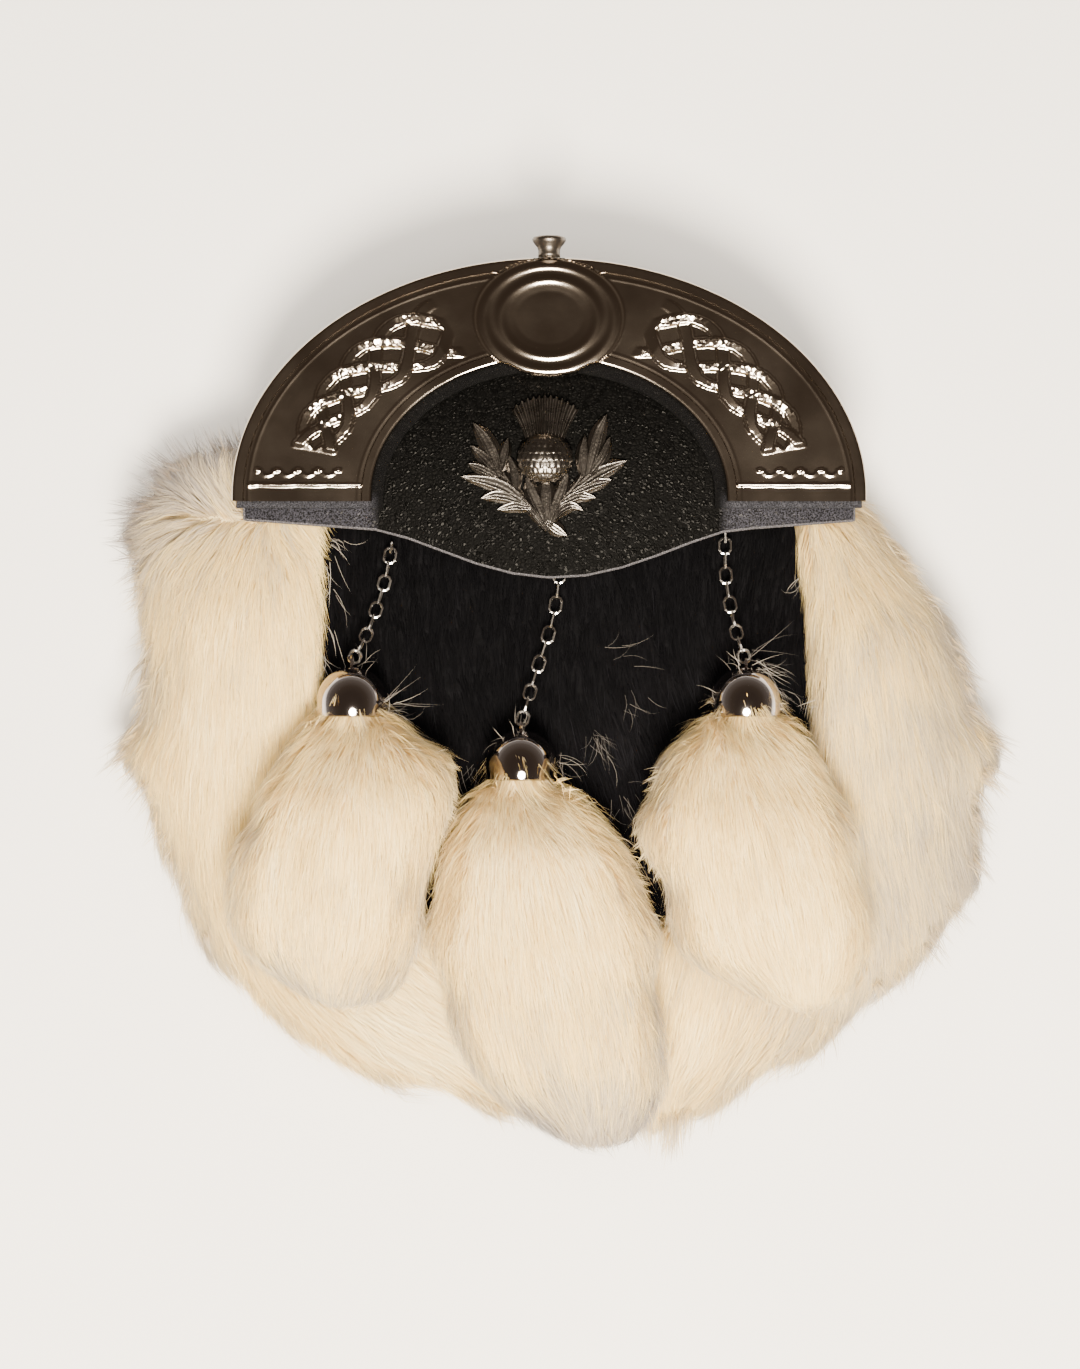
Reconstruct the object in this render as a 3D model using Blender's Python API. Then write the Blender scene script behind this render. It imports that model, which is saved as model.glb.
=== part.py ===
# Full dress sporran pouch, lying on its back.
# Metres, +Z up out of the front, +Y towards the cantle's top, +X to the right as seen from the front.
# The origin is the middle of the belt loop's resting face, under the middle of the cantle's base line.

import math

import bmesh
import bpy
from mathutils import Matrix, Vector

# Clearances
fit_gap = 0.0003
seam_gap = 0.0006

# Belt loop and back
loop_length = 0.090
loop_flat = 0.027
loop_foot = 0.005
loop_thickness = 0.0025
slot_height = 0.0046
back_thickness = 0.0022
back_top_height = 0.0530

# Pouch
pouch_half_width = 0.0620
pouch_side = 0.0550
pouch_round = 0.0570
pouch_wall = 0.0020
hollow_depth = 0.0200
left_limb_top = 0.0120
right_limb_top = 0.0020

# Black front hide
front_thickness = 0.0045
front_crown = 0.0010
front_nap = 0.0003
front_top = 0.0090

# Flap
flap_clearance = 0.0047
flap_thickness = 0.0020
flap_edge_inset = 0.0015
flap_foot_drop = 0.0055
flap_shoulder_drop = 0.0080
lip_half_width = 0.0430
lip_depth = 0.0116
lip_shift = 0.0015
fold_half_width = 0.0320
fold_radius = 0.0060
fold_tongue = 0.0140
fold_step = 0.0001

# Cantle and the leather behind it
cantle_half_width = 0.0762
cantle_height = 0.0572
arch_half_width = 0.0426
arch_height = 0.0330
backing_thickness = 0.0018
backing_margin = 0.0026
backing_edge_inset = 0.0007
cantle_plate = 0.0035
rim_lift = 0.0017
bar_width = 0.0022
bar_inset = 0.0009
bar_foot = 0.0005
strand_width = 0.0026
strand_lift = 0.0007
strand_lift_step = 0.0002
bead_radius = 0.0015
bead_lift = 0.0010
bead_row_height = 0.0056
bead_first = 0.0077
boss_half_width = 0.0159
boss_half_height = 0.0122
boss_edge = 0.0023
boss_lift = 0.0024

# Knob on the cantle's top edge
knob_radius = 0.0036
knob_neck_radius = 0.0022
knob_length = 0.0050

# Thistle badge
badge_plate = 0.0016
badge_x = -0.0010
bulb_radius = 0.0067
bulb_height = 0.0046
bulb_y = 0.0094
bloom_length = 0.0100
bloom_neck_half = 0.0045
bloom_top_half = 0.0082
bloom_flutes = 10
flute_reach = 0.0009
casting_step = 0.00004
stem_foot_y = -0.0088
stem_width = 0.0026

# Chains, their staples and the caps' eyes
link_width = 0.0035
link_wire = 0.00065
link_overlap = 0.00025
side_links = 9
middle_links = 11
staple_wire = 0.0007
staple_span = 0.0022
staple_height = 0.0033
eye_radius = 0.0014
eye_wire = 0.0008

# Tassel caps and tassels
cap_radius = 0.0085
cap_skirt = 0.0035
cap_wall = 0.0008
cap_height = 0.0450
cap_sides = 12
cap_steps = 4
side_tassel_length = 0.0730
middle_tassel_length = 0.0910
tassel_width = 0.0580
tassel_depth = 0.0300
tassel_floor = 0.0384
tassel_lock = 0.0011
tassel_tip = 0.0040

# White fur surround
fur_reach = 0.0415
fur_crest = 0.0450
fur_lock = 0.0012
fur_tip = 0.0030
roll_lip = 0.0008
fur_stations = 76

# Heights of each layer, from the floor up
back_floor = loop_thickness + slot_height
back_face = back_floor + back_thickness
front_floor = back_face + hollow_depth
front_face = front_floor + front_thickness
flap_floor = front_face + flap_clearance
flap_face = flap_floor + flap_thickness
backing_floor = flap_face + fit_gap
cantle_floor = backing_floor + backing_thickness + fit_gap
cantle_face = cantle_floor + cantle_plate
boss_centre_height = cantle_height - boss_half_height - boss_edge

# Across the cantle's band from the arch (0) to the outer edge (1), and the lift as a share of rim_lift
# Columns: across, lift
cantle_section = (
    (0.000, 0.90),
    (0.055, 0.90),
    (0.075, 0.00),
    (0.115, 0.00),
    (0.130, 0.50),
    (0.145, 0.00),
    (0.840, 0.00),
    (0.860, 0.60),
    (0.880, 0.00),
    (0.920, 0.00),
    (0.945, 1.00),
    (1.000, 1.00),
)

# The boss from its foot to its plain middle
# Columns: share of its half sizes, lift as a share of boss_lift
boss_section = (
    (1.00, 0.45),
    (0.95, 0.70),
    (0.84, 0.45),
    (0.78, 0.50),
    (0.72, 1.00),
    (0.64, 0.80),
    (0.57, 0.45),
)

# The fur round the pouch, from the left mouth corner round the bottom to the right one
# Columns: share of the way, reach as a share of fur_reach, crest as a share of fur_crest,
# roll over the front as a share of fur_reach
fur_way = (
    (0.000, 0.80, 0.84, 0.145),
    (0.055, 0.98, 0.84, 0.193),
    (0.120, 0.98, 1.00, 0.205),
    (0.190, 0.97, 0.92, 0.205),
    (0.230, 1.02, 0.84, 0.169),
    (0.500, 0.99, 0.84, 0.120),
    (0.560, 1.08, 0.84, 0.120),
    (0.770, 1.18, 0.84, 0.072),
    (0.820, 1.14, 0.90, 0.048),
    (0.890, 0.94, 1.00, 0.048),
    (0.950, 0.66, 0.84, 0.060),
    (1.000, 0.42, 0.84, 0.072),
)

# The fur's section from the foot of the wall outwards, up and back to the roll
# Columns: out as a share of the reach, up as a share of the crest
fur_section = (
    (0.00, 0.00),
    (0.52, 0.00),
    (0.86, 0.10),
    (1.00, 0.36),
    (0.90, 0.62),
    (0.62, 0.88),
    (0.22, 1.00),
)

# Columns: way down as a share of the tassel's length, left and right reach from the cap's
# middle as shares of tassel_width, depth as a share of tassel_depth
left_tassel_rows = (
    (0.080, -0.17, 0.19, 0.55),
    (0.150, -0.28, 0.43, 0.80),
    (0.290, -0.39, 0.43, 0.97),
    (0.420, -0.45, 0.35, 1.00),
    (0.550, -0.49, 0.31, 0.98),
    (0.680, -0.51, 0.28, 0.90),
    (0.780, -0.48, 0.26, 0.78),
    (0.860, -0.37, 0.24, 0.62),
    (0.930, -0.22, 0.19, 0.42),
)
middle_tassel_rows = (
    (0.070, -0.16, 0.17, 0.55),
    (0.130, -0.27, 0.34, 0.80),
    (0.210, -0.31, 0.44, 0.95),
    (0.360, -0.36, 0.53, 1.00),
    (0.510, -0.38, 0.57, 1.00),
    (0.660, -0.32, 0.58, 0.95),
    (0.810, -0.20, 0.60, 0.80),
    (0.900, -0.06, 0.58, 0.60),
    (0.960, 0.12, 0.52, 0.40),
)
right_tassel_rows = (
    (0.080, -0.19, 0.19, 0.55),
    (0.150, -0.39, 0.28, 0.80),
    (0.340, -0.46, 0.40, 0.97),
    (0.500, -0.43, 0.46, 1.00),
    (0.640, -0.35, 0.49, 0.98),
    (0.790, -0.31, 0.51, 0.86),
    (0.870, -0.23, 0.50, 0.70),
    (0.940, 0.04, 0.46, 0.48),
)

# Each chain's way from its staple to the cap's eye, whose middle is its last point
# Columns: x as a share of pouch_half_width, y as a share of the pouch's height, height over the front hide
pouch_height = pouch_side + pouch_round
left_route = ((-0.618, -0.107, 0.0024), (-0.645, -0.183, 0.0031), (-0.705, -0.286, 0.0052))
middle_route = ((0.045, -0.147, 0.0024), (0.016, -0.259, 0.0031), (-0.065, -0.402, 0.0048))
right_route = ((0.690, -0.085, 0.0024), (0.694, -0.179, 0.0031), (0.729, -0.286, 0.0052))

# Each cap's middle, in the same shares
left_cap_place = (-0.7645, -0.4411)
middle_cap_place = (-0.1097, -0.5768)
right_cap_place = (0.7629, -0.4411)

# One side leaf of the thistle, along its rib
# Columns: share of the rib, outer lobe's reach, inner lobe's reach, all as shares of leaf_length
leaf_length = 0.0270
leaf_spread = 0.0185
leaf_lobes = (
    (0.20, 0.15, 0.06),
    (0.38, 0.24, 0.12),
    (0.56, 0.24, 0.17),
    (0.74, 0.18, 0.15),
    (0.88, 0.11, 0.09),
)


def material(name, colour, roughness, metallic):
    look = bpy.data.materials.new(name)
    look.use_nodes = True
    shader = look.node_tree.nodes["Principled BSDF"]
    shader.inputs["Base Color"].default_value = (*colour, 1.0)
    shader.inputs["Roughness"].default_value = roughness
    shader.inputs["Metallic"].default_value = metallic
    look.diffuse_color = (*colour, 1.0)
    return look


def clear_scene():
    for item in list(bpy.data.objects):
        bpy.data.objects.remove(item)


def add_object(name, shape, look):
    """An object from a closed bmesh, with its faces pointing out."""
    bmesh.ops.recalc_face_normals(shape, faces=shape.faces)
    mesh = bpy.data.meshes.new(name)
    shape.to_mesh(mesh)
    shape.free()
    mesh.materials.append(look)
    item = bpy.data.objects.new(name, mesh)
    bpy.context.scene.collection.objects.link(item)
    return item


def fuse(item, helpers):
    """Joins the helper solids to the item, as one body."""
    group = bpy.data.collections.new(item.name + "_relief")
    bpy.context.scene.collection.children.link(group)
    for helper in helpers:
        bpy.context.scene.collection.objects.unlink(helper)
        group.objects.link(helper)
        helper.hide_render = True
        helper.display_type = "WIRE"
    union = item.modifiers.new("fuse", "BOOLEAN")
    union.operation = "UNION"
    union.operand_type = "COLLECTION"
    union.collection = group
    union.solver = "EXACT"


def slab(outline, low, high):
    """A flat solid with this plan between two heights."""
    shape = bmesh.new()
    face = shape.faces.new([shape.verts.new((x, y, low)) for x, y in outline])
    raised = bmesh.ops.extrude_face_region(shape, geom=[face])
    top = [v for v in raised["geom"] if isinstance(v, bmesh.types.BMVert)]
    bmesh.ops.translate(shape, verts=top, vec=(0, 0, high - low))
    return shape


def loft(rings, first_tip=None, last_tip=None):
    """A closed skin over rings of equal count, with flat ends or with tips."""
    shape = bmesh.new()
    loops = [[shape.verts.new(point) for point in ring] for ring in rings]
    count = len(loops[0])
    for near, far in zip(loops, loops[1:]):
        for k in range(count):
            after = (k + 1) % count
            shape.faces.new((near[k], near[after], far[after], far[k]))
    for loop, tip in ((loops[0], first_tip), (loops[-1], last_tip)):
        if tip is None:
            shape.faces.new(loop)
            continue
        point = shape.verts.new(tip)
        for k in range(count):
            shape.faces.new((loop[k], loop[(k + 1) % count], point))
    return shape


def turned(profile, steps):
    """A solid turned about +Y from (radius, y) points that start and end on the axis."""
    shape = bmesh.new()
    points = [shape.verts.new((radius, y, 0)) for radius, y in profile]
    edges = [shape.edges.new(pair) for pair in zip(points, points[1:])]
    bmesh.ops.spin(
        shape,
        geom=points + edges,
        cent=(0, 0, 0),
        axis=(0, 1, 0),
        angle=math.tau,
        steps=steps,
        use_merge=True,
    )
    bmesh.ops.remove_doubles(shape, verts=shape.verts, dist=0.000002)
    return shape


def table_value(table, share, column):
    """A column of a table at this share, on straight lines between its rows."""
    for row, after in zip(table, table[1:]):
        if share <= after[0]:
            part = (share - row[0]) / (after[0] - row[0])
            return row[column] + (after[column] - row[column]) * max(0.0, part)
    return table[-1][column]


def pouch_way(share, inset, left_top, right_top):
    """The pouch's edge in plan at a share of its way from the left mouth corner: point and outward normal."""
    half = pouch_half_width - inset
    deep = pouch_round - inset
    left_run = left_top + pouch_side
    right_run = right_top + pouch_side
    bend = math.pi * math.sqrt((half * half + deep * deep) / 2)
    along = share * (left_run + bend + right_run)
    if along <= left_run:
        return Vector((-half, left_top - along)), Vector((-1, 0))
    if along >= left_run + bend:
        return Vector((half, along - left_run - bend - pouch_side)), Vector((1, 0))
    angle = math.pi * (1 + (along - left_run) / bend)
    point = Vector((half * math.cos(angle), deep * math.sin(angle) - pouch_side))
    return point, Vector((math.cos(angle) / half, math.sin(angle) / deep)).normalized()


def pouch_half_at(y, inset):
    """Half the pouch's width at this y."""
    below = max(0.0, -pouch_side - y)
    share = min(1.0, below / (pouch_round - inset))
    return (pouch_half_width - inset) * math.sqrt(1 - share * share)


def arch_point(turn, across, grow=0.0):
    """Plan of the cantle's band: turn from the right foot over the top, across from the arch to the edge."""
    inner = Vector((arch_half_width - grow, arch_height - grow))
    outer = Vector((cantle_half_width + grow, cantle_height + grow))
    half = inner.lerp(outer, across)
    return Vector((half.x * math.cos(turn), half.y * math.sin(turn)))


def flap_drop(x):
    """How far the flap's lower edge lies below the cantle's base line."""
    aside = abs(x - lip_shift)
    if aside >= lip_half_width:
        share = (aside - lip_half_width) / (cantle_half_width - lip_half_width)
        return flap_shoulder_drop + (flap_foot_drop - flap_shoulder_drop) * min(1.0, share)
    return flap_shoulder_drop + lip_depth * math.cos(math.pi / 2 * aside / lip_half_width) ** 1.3


def flap_top(x):
    """The y of the flap's top edge, inside the cantle's."""
    half = cantle_half_width - flap_edge_inset
    height = cantle_height - flap_edge_inset
    return height * math.sqrt(max(0.0, 1 - (x / half) ** 2))


def front_height(x, y):
    """The black hide's face, a little higher in the middle of the pouch."""
    across = 1 - (x / pouch_half_width) ** 2
    middle = (front_top - pouch_side - pouch_round) / 2
    down = 1 - ((y - middle) / (front_top - middle)) ** 2
    return front_face + front_crown * max(0.0, across) * max(0.0, down)


def belt_loop(look):
    """The band that the strap runs through, with a foot along each stitched edge."""
    flat = loop_flat / 2
    edge = flat + loop_foot
    top = back_floor - fit_gap
    profile = (
        (-flat, 0.0),
        (flat, 0.0),
        (edge, slot_height * 0.5),
        (edge, top),
        (flat, top),
        (flat - loop_thickness * 0.5, loop_thickness),
        (loop_thickness * 0.5 - flat, loop_thickness),
        (-flat, top),
        (-edge, top),
        (-edge, slot_height * 0.5),
    )
    ends = (-loop_length / 2, loop_length / 2)
    rings = [[(x, y, z) for y, z in profile] for x in ends]
    return add_object("belt_loop", loft(rings), look)


def back_panel(look):
    """The flat back, round below and arched above."""
    inset = pouch_wall + seam_gap
    outline = []
    for k in range(33):
        point, _ = pouch_way(k / 32, inset, 0.0, 0.0)
        outline.append((point.x, point.y))
    half = pouch_half_width - inset
    for k in range(1, 20):
        turn = math.pi * k / 20
        outline.append((half * math.cos(turn), back_top_height * math.sin(turn)))
    return add_object("back_panel", slab(outline, back_floor, back_face), look)


def front_panel(look):
    """The black hide of the front: a crowned sheet with its short nap in rows."""
    inset = pouch_wall + seam_gap
    rows = 16
    columns = 12
    low_end = -pouch_side - (pouch_round - inset) * 0.985
    rings = []
    for j in range(rows + 1):
        y = front_top + (low_end - front_top) * j / rows
        half = pouch_half_at(y, inset)
        ring = []
        for i in range(columns + 1):
            x = half * (2 * i / columns - 1)
            inside = 0 < i < columns and 0 < j < rows
            nap = front_nap * (-1) ** (i + j // 2) if inside else 0.0
            ring.append((x, y, front_height(x, y) + nap))
        ring.append((half, y, front_floor))
        ring.append((-half, y, front_floor))
        rings.append(ring)
    return add_object("front_panel", loft(rings), look)


def flap(look):
    """The leather flap: its front leaf, and the fold over the mouth to the back."""
    columns = 26
    half = cantle_half_width - flap_edge_inset - seam_gap
    rings = []
    for i in range(columns + 1):
        x = half * math.sin(math.pi / 2 * (2 * i / columns - 1))
        low = -flap_drop(x)
        high = flap_top(x)
        rings.append(
            [
                (x, low, flap_floor),
                (x, high, flap_floor),
                (x, high, flap_face),
                (x, low, flap_face),
            ]
        )
    leaf = add_object("flap", loft(rings), look)
    fuse(leaf, [fold(look)])
    return leaf


def fold(look):
    """The flap's fold: down from the leaf's top edge and in over the back panel."""
    low = back_face + fit_gap
    mid = flap_floor + flap_thickness / 2
    turns = 3
    outer = []
    inner = []
    for k in range(turns + 1):
        turn = math.pi / 2 * k / turns
        outer.append((fold_radius * math.sin(turn), mid - fold_step - fold_radius * (1 - math.cos(turn))))
        reach = fold_radius - flap_thickness * 0.95
        inner.append((reach * math.sin(turn), mid - fold_step - fold_radius + reach * math.cos(turn)))
    for k in range(turns + 1):
        turn = math.pi / 2 * (1 + k / turns)
        outer.append((fold_radius * math.sin(turn), low + fold_radius + fold_radius * math.cos(turn)))
        reach = fold_radius - flap_thickness * 0.95
        inner.append((reach * math.sin(turn), low + fold_radius + reach * math.cos(turn)))
    outer.append((-fold_tongue, low))
    inner.append((-fold_tongue, low + flap_thickness * 0.95))
    outer.insert(0, (-fold_tongue * 0.3, mid - fold_step))
    inner.insert(0, (-fold_tongue * 0.3, mid - fold_step - flap_thickness * 0.95))
    section = outer + inner[::-1]
    steps = 10
    rings = []
    for i in range(steps + 1):
        x = fold_half_width * (2 * i / steps - 1)
        y = flap_top(x) - fold_radius
        rings.append([(x, y + out, z) for out, z in section])
    return add_object("flap_fold", loft(rings), look)


def cantle_backing(look):
    """The leather leaf behind the cantle, wider than it inside the arch and under its feet."""
    steps = 30
    outer = []
    inner = []
    for k in range(steps + 1):
        turn = math.pi * k / steps
        edge = arch_point(turn, 1.0, -backing_edge_inset)
        arch = arch_point(turn, 0.0, backing_margin)
        outer.append((edge.x, edge.y))
        inner.append((arch.x, arch.y))
    foot = -backing_margin
    outline = [(outer[0][0], foot)] + outer + [(outer[-1][0], foot)]
    outline += [(inner[-1][0], foot)] + inner[::-1] + [(inner[0][0], foot)]
    high = backing_floor + backing_thickness
    return add_object("cantle_backing", slab(outline, backing_floor, high), look)


def strand(side, phase, lift):
    """One raised strand of the plait on the cantle's left or right limb."""
    low = cantle_floor + cantle_plate / 2
    high = cantle_face + lift
    steps = 12
    start = math.radians(13)
    finish = math.radians(63)
    middle = []
    for k in range(steps + 1):
        share = k / steps
        turn = start + (finish - start) * share
        across = 0.49 + 0.27 * math.sin(phase + math.tau * 1.5 * share)
        point = arch_point(turn, across)
        middle.append(Vector((side * point.x, point.y)))
    rings = []
    for k, point in enumerate(middle):
        run = (middle[min(k + 1, steps)] - middle[max(k - 1, 0)]).normalized()
        aside = Vector((-run.y, run.x)) * strand_width / 2
        a = point - aside
        b = point + aside
        c = point + aside * 0.6
        d = point - aside * 0.6
        rings.append([(a.x, a.y, low), (b.x, b.y, low), (c.x, c.y, high), (d.x, d.y, high)])
    return loft(rings)


def bead(x, y):
    low = cantle_floor + cantle_plate / 2
    heights = ((1.0, low), (1.0, cantle_face + bead_lift * 0.4), (0.55, cantle_face + bead_lift))
    rings = []
    for share, z in heights:
        rings.append(
            [
                (
                    x + bead_radius * share * math.cos(math.tau * (k + 0.5) / 6),
                    y + bead_radius * share * math.sin(math.tau * (k + 0.5) / 6),
                    z,
                )
                for k in range(6)
            ]
        )
    return loft(rings)


def boss():
    """The stepped oval at the top of the cantle."""
    count = 20
    low = cantle_floor + cantle_plate / 3
    levels = [(1.0, low)] + [(share, cantle_face + boss_lift * lift) for share, lift in boss_section]
    rings = []
    for share, z in levels:
        ring = []
        for k in range(count):
            turn = math.tau * (k + 0.5) / count
            x = boss_half_width * share * math.cos(turn)
            y = boss_centre_height + boss_half_height * share * math.sin(turn)
            ring.append((x, y, z))
        rings.append(ring)
    return loft(rings)


def foot_bar(side):
    """The raised bar along the base of a limb."""
    inner = side * (arch_half_width + bar_inset)
    outer = side * (cantle_half_width - bar_inset)
    near = bar_foot
    outline = [(inner, near), (outer, near), (outer, near + bar_width), (inner, near + bar_width)]
    return slab(outline, cantle_floor + cantle_plate / 2, cantle_face + rim_lift * 0.75)


def cantle(look):
    """The half-moon casting with rims, bars, beads, plaits and boss."""
    steps = 28
    rings = []
    for k in range(steps + 1):
        turn = math.pi * k / steps
        ring = []
        for across, lift in cantle_section:
            point = arch_point(turn, across)
            ring.append((point.x, point.y, cantle_face + rim_lift * lift))
        for across in (1.0, 0.0):
            point = arch_point(turn, across)
            ring.append((point.x, point.y, cantle_floor))
        rings.append(ring)
    body = add_object("cantle", loft(rings), look)
    relief = [add_object("cantle_boss", boss(), look)]
    for side in (-1, 1):
        relief.append(add_object("cantle_bar", foot_bar(side), look))
        for n in range(3):
            lift = strand_lift + strand_lift_step * n
            relief.append(add_object("cantle_strand", strand(side, math.tau * n / 3, lift), look))
        first = arch_half_width + bead_first
        pitch = (cantle_half_width - arch_half_width) / 7
        for n in range(4):
            relief.append(add_object("cantle_bead", bead(side * (first + pitch * n), bead_row_height), look))
    fuse(body, relief)
    return body


def cantle_knob(look):
    """The turned knob: neck, then a domed head."""
    profile = (
        (0.0, 0.0),
        (knob_neck_radius * 1.15, 0.0),
        (knob_neck_radius, knob_length * 0.25),
        (knob_neck_radius, knob_length * 0.40),
        (knob_radius, knob_length * 0.55),
        (knob_radius, knob_length * 0.75),
        (knob_radius * 0.75, knob_length * 0.93),
        (0.0, knob_length),
    )
    item = add_object("cantle_knob", turned(profile, 12), look)
    item.location = (0.0, cantle_height + fit_gap, cantle_floor + max(knob_radius, cantle_plate / 2))
    return item


def leaf(side, low, high):
    """A jagged side leaf that springs from the stem's foot and curves up beside the bulb."""
    foot = Vector((badge_x, stem_foot_y + stem_width))
    tip = Vector((badge_x + side * leaf_spread * 0.88, stem_foot_y + leaf_length))
    pull = Vector((badge_x + side * leaf_spread * 0.95, stem_foot_y + leaf_length * 0.25))

    def rib(share):
        return foot.lerp(pull, share).lerp(pull.lerp(tip, share), share)

    outer = []
    inner = []
    for share, out_reach, in_reach in leaf_lobes:
        run = (rib(share + 0.02) - rib(share - 0.02)).normalized()
        away = Vector((run.y, -run.x)) * side
        notch = rib(share - 0.09)
        point = rib(share + 0.05)
        outer.append(notch + away * leaf_length * out_reach * 0.42)
        outer.append(point + away * leaf_length * out_reach)
        inner.append(notch - away * leaf_length * in_reach * 0.50)
        inner.append(point - away * leaf_length * in_reach)
    outline = [foot] + outer + [tip] + inner[::-1]
    return slab([(p.x, p.y) for p in outline], low, high)


def bloom(low):
    """The fluted fan over the bulb."""
    neck_y = bulb_y + bulb_radius * 0.75
    rings = []
    for share in (0.0, 0.55, 1.0):
        half = bloom_neck_half + (bloom_top_half - bloom_neck_half) * share
        ring = []
        for k in range(bloom_flutes * 2 + 1):
            aside = k / bloom_flutes - 1
            bulge = math.sqrt(1 - 0.75 * aside * aside)
            ridge = 1.0 if k % 2 else 0.78
            y = neck_y + bloom_length * share * (0.86 + 0.14 * bulge) + flute_reach * share * (k % 2)
            z = low + bulb_height * (0.78 - 0.30 * share) * bulge * ridge
            ring.append((badge_x + half * aside, y, z))
        ring.append((badge_x + half, ring[-1][1], low))
        ring.append((badge_x - half, ring[0][1], low))
        rings.append(ring)
    return loft(rings)


def bulb(low):
    """The scaly half bulb: rows of scales round a dome."""
    around = 14
    rings = []
    for level in range(5):
        turn = math.pi / 2 * level / 5
        reach = bulb_radius * math.cos(turn)
        rings.append(
            [
                (
                    badge_x + reach * math.cos(math.tau * (k + 0.5 * level) / around) * (0.95 + 0.05 * (k % 2)),
                    bulb_y + reach * math.sin(math.tau * (k + 0.5 * level) / around) * (0.95 + 0.05 * (k % 2)),
                    low + bulb_height * math.sin(turn),
                )
                for k in range(around)
            ]
        )
    return loft(rings, last_tip=(badge_x, bulb_y, low + bulb_height))


def thistle_badge(look):
    """The cast thistle: bulb, bloom, two leaves and a stem in one piece."""
    low = flap_face + fit_gap
    half = stem_width / 2
    top = bulb_y - bulb_radius * 0.6
    stem_outline = [
        (badge_x + half * 1.6, stem_foot_y),
        (badge_x + half, top),
        (badge_x - half, top),
        (badge_x - half * 0.4, stem_foot_y),
    ]
    body = add_object("thistle_badge", slab(stem_outline, low, low + badge_plate * 1.25), look)
    relief = [
        add_object("badge_bulb", bulb(low + casting_step), look),
        add_object("badge_bloom", bloom(low + casting_step * 2), look),
        add_object("badge_leaf", leaf(-1, low + casting_step * 3, low + badge_plate), look),
        add_object("badge_leaf", leaf(1, low + casting_step * 4, low + badge_plate * 1.1), look),
    ]
    fuse(body, relief)
    return body


def wire_ring(half_length, half_width, wire, around, sides):
    """A closed wire in the XY plane, long along X: round ends of half_width, straight between."""
    straight = half_length - half_width
    middle = []
    for k in range(around):
        turn = math.tau * k / around
        x = half_width * math.cos(turn)
        x += straight if math.cos(turn) > 0.001 else -straight if math.cos(turn) < -0.001 else 0.0
        middle.append(Vector((x, half_width * math.sin(turn), 0)))
    shape = bmesh.new()
    loops = []
    for k, point in enumerate(middle):
        before = (point - middle[k - 1]).normalized()
        after = (middle[(k + 1) % around] - point).normalized()
        run = (before + after).normalized()
        out = Vector((run.y, -run.x, 0))
        spread = 1 / max(0.5, out.dot(Vector((before.y, -before.x, 0))))
        loop = []
        for n in range(sides):
            turn = math.pi + math.tau * n / sides
            offset = out * math.cos(turn) * spread + Vector((0, 0, math.sin(turn)))
            loop.append(shape.verts.new(point + offset * wire / 2))
        loops.append(loop)
    for k in range(around):
        near = loops[k]
        far = loops[(k + 1) % around]
        for n in range(sides):
            after = (n + 1) % sides
            shape.faces.new((near[n], near[after], far[after], far[n]))
    return shape


def route_points(route, cap_place):
    """The chain's way in space, ending in the middle of the cap's eye."""
    points = []
    for x_share, y_share, up in route:
        x, y = in_plan((x_share, y_share))
        points.append(Vector((x, y, front_height(x, y) + up)))
    points.append(eye_middle(cap_place))
    return points


def in_plan(place):
    """x and y of a place that is given in shares of the pouch."""
    return place[0] * pouch_half_width, place[1] * pouch_height


def eye_middle(cap_place):
    x, y = in_plan(cap_place)
    return Vector((x, y + cap_radius + eye_radius * 0.7, cap_height))


def smooth_way(points):
    """A dense smooth line through the points."""
    line = []
    padded = [points[0] * 2 - points[1]] + points + [points[-1] * 2 - points[-2]]
    for a, b, c, d in zip(padded, padded[1:], padded[2:], padded[3:]):
        for k in range(24):
            t = k / 24
            line.append(
                0.5
                * (
                    b * 2
                    + (c - a) * t
                    + (a * 2 - b * 5 + c * 4 - d) * t * t
                    + (b * 3 - a - c * 3 + d) * t * t * t
                )
            )
    line.append(points[-1])
    return line


def place_along(line, distance):
    """The point at this distance along the line, and beyond its ends on a straight run."""
    gone = 0.0
    for near, far in zip(line, line[1:]):
        step = (far - near).length
        if gone + step >= distance:
            return near.lerp(far, (distance - gone) / step)
        gone += step
    run = (line[-1] - line[-2]).normalized()
    return line[-1] + run * (distance - gone)


def chain(name, route, cap_place, links, look):
    """Links that hold each other, flat and upright by turns, fused where they bear."""
    line = smooth_way(route_points(route, cap_place))
    total = sum((far - near).length for near, far in zip(line, line[1:]))
    pitch = (total - link_wire + link_overlap) / links
    half_length = (pitch + link_wire - link_overlap) / 2
    half_width = (link_width - link_wire) / 2
    sets = (bmesh.new(), bmesh.new())
    for n in range(links):
        start = place_along(line, n * pitch)
        finish = place_along(line, n * pitch + 2 * half_length)
        run = (finish - start).normalized()
        flat_side = Vector((0, 0, 1)).cross(run).normalized()
        upright = run.cross(flat_side)
        if n % 2:
            flat_side, upright = upright, -flat_side
        frame = Matrix((run, flat_side, upright)).transposed().to_4x4()
        frame.translation = start.lerp(finish, 0.5)
        link = wire_ring(half_length, half_width, link_wire, 10, 5)
        link.transform(frame)
        mesh = bpy.data.meshes.new("link")
        link.to_mesh(mesh)
        link.free()
        sets[n % 2].from_mesh(mesh)
        bpy.data.meshes.remove(mesh)
    body = add_object(name, sets[0], look)
    fuse(body, [add_object(name + "_upright_links", sets[1], look)])
    return body


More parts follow.
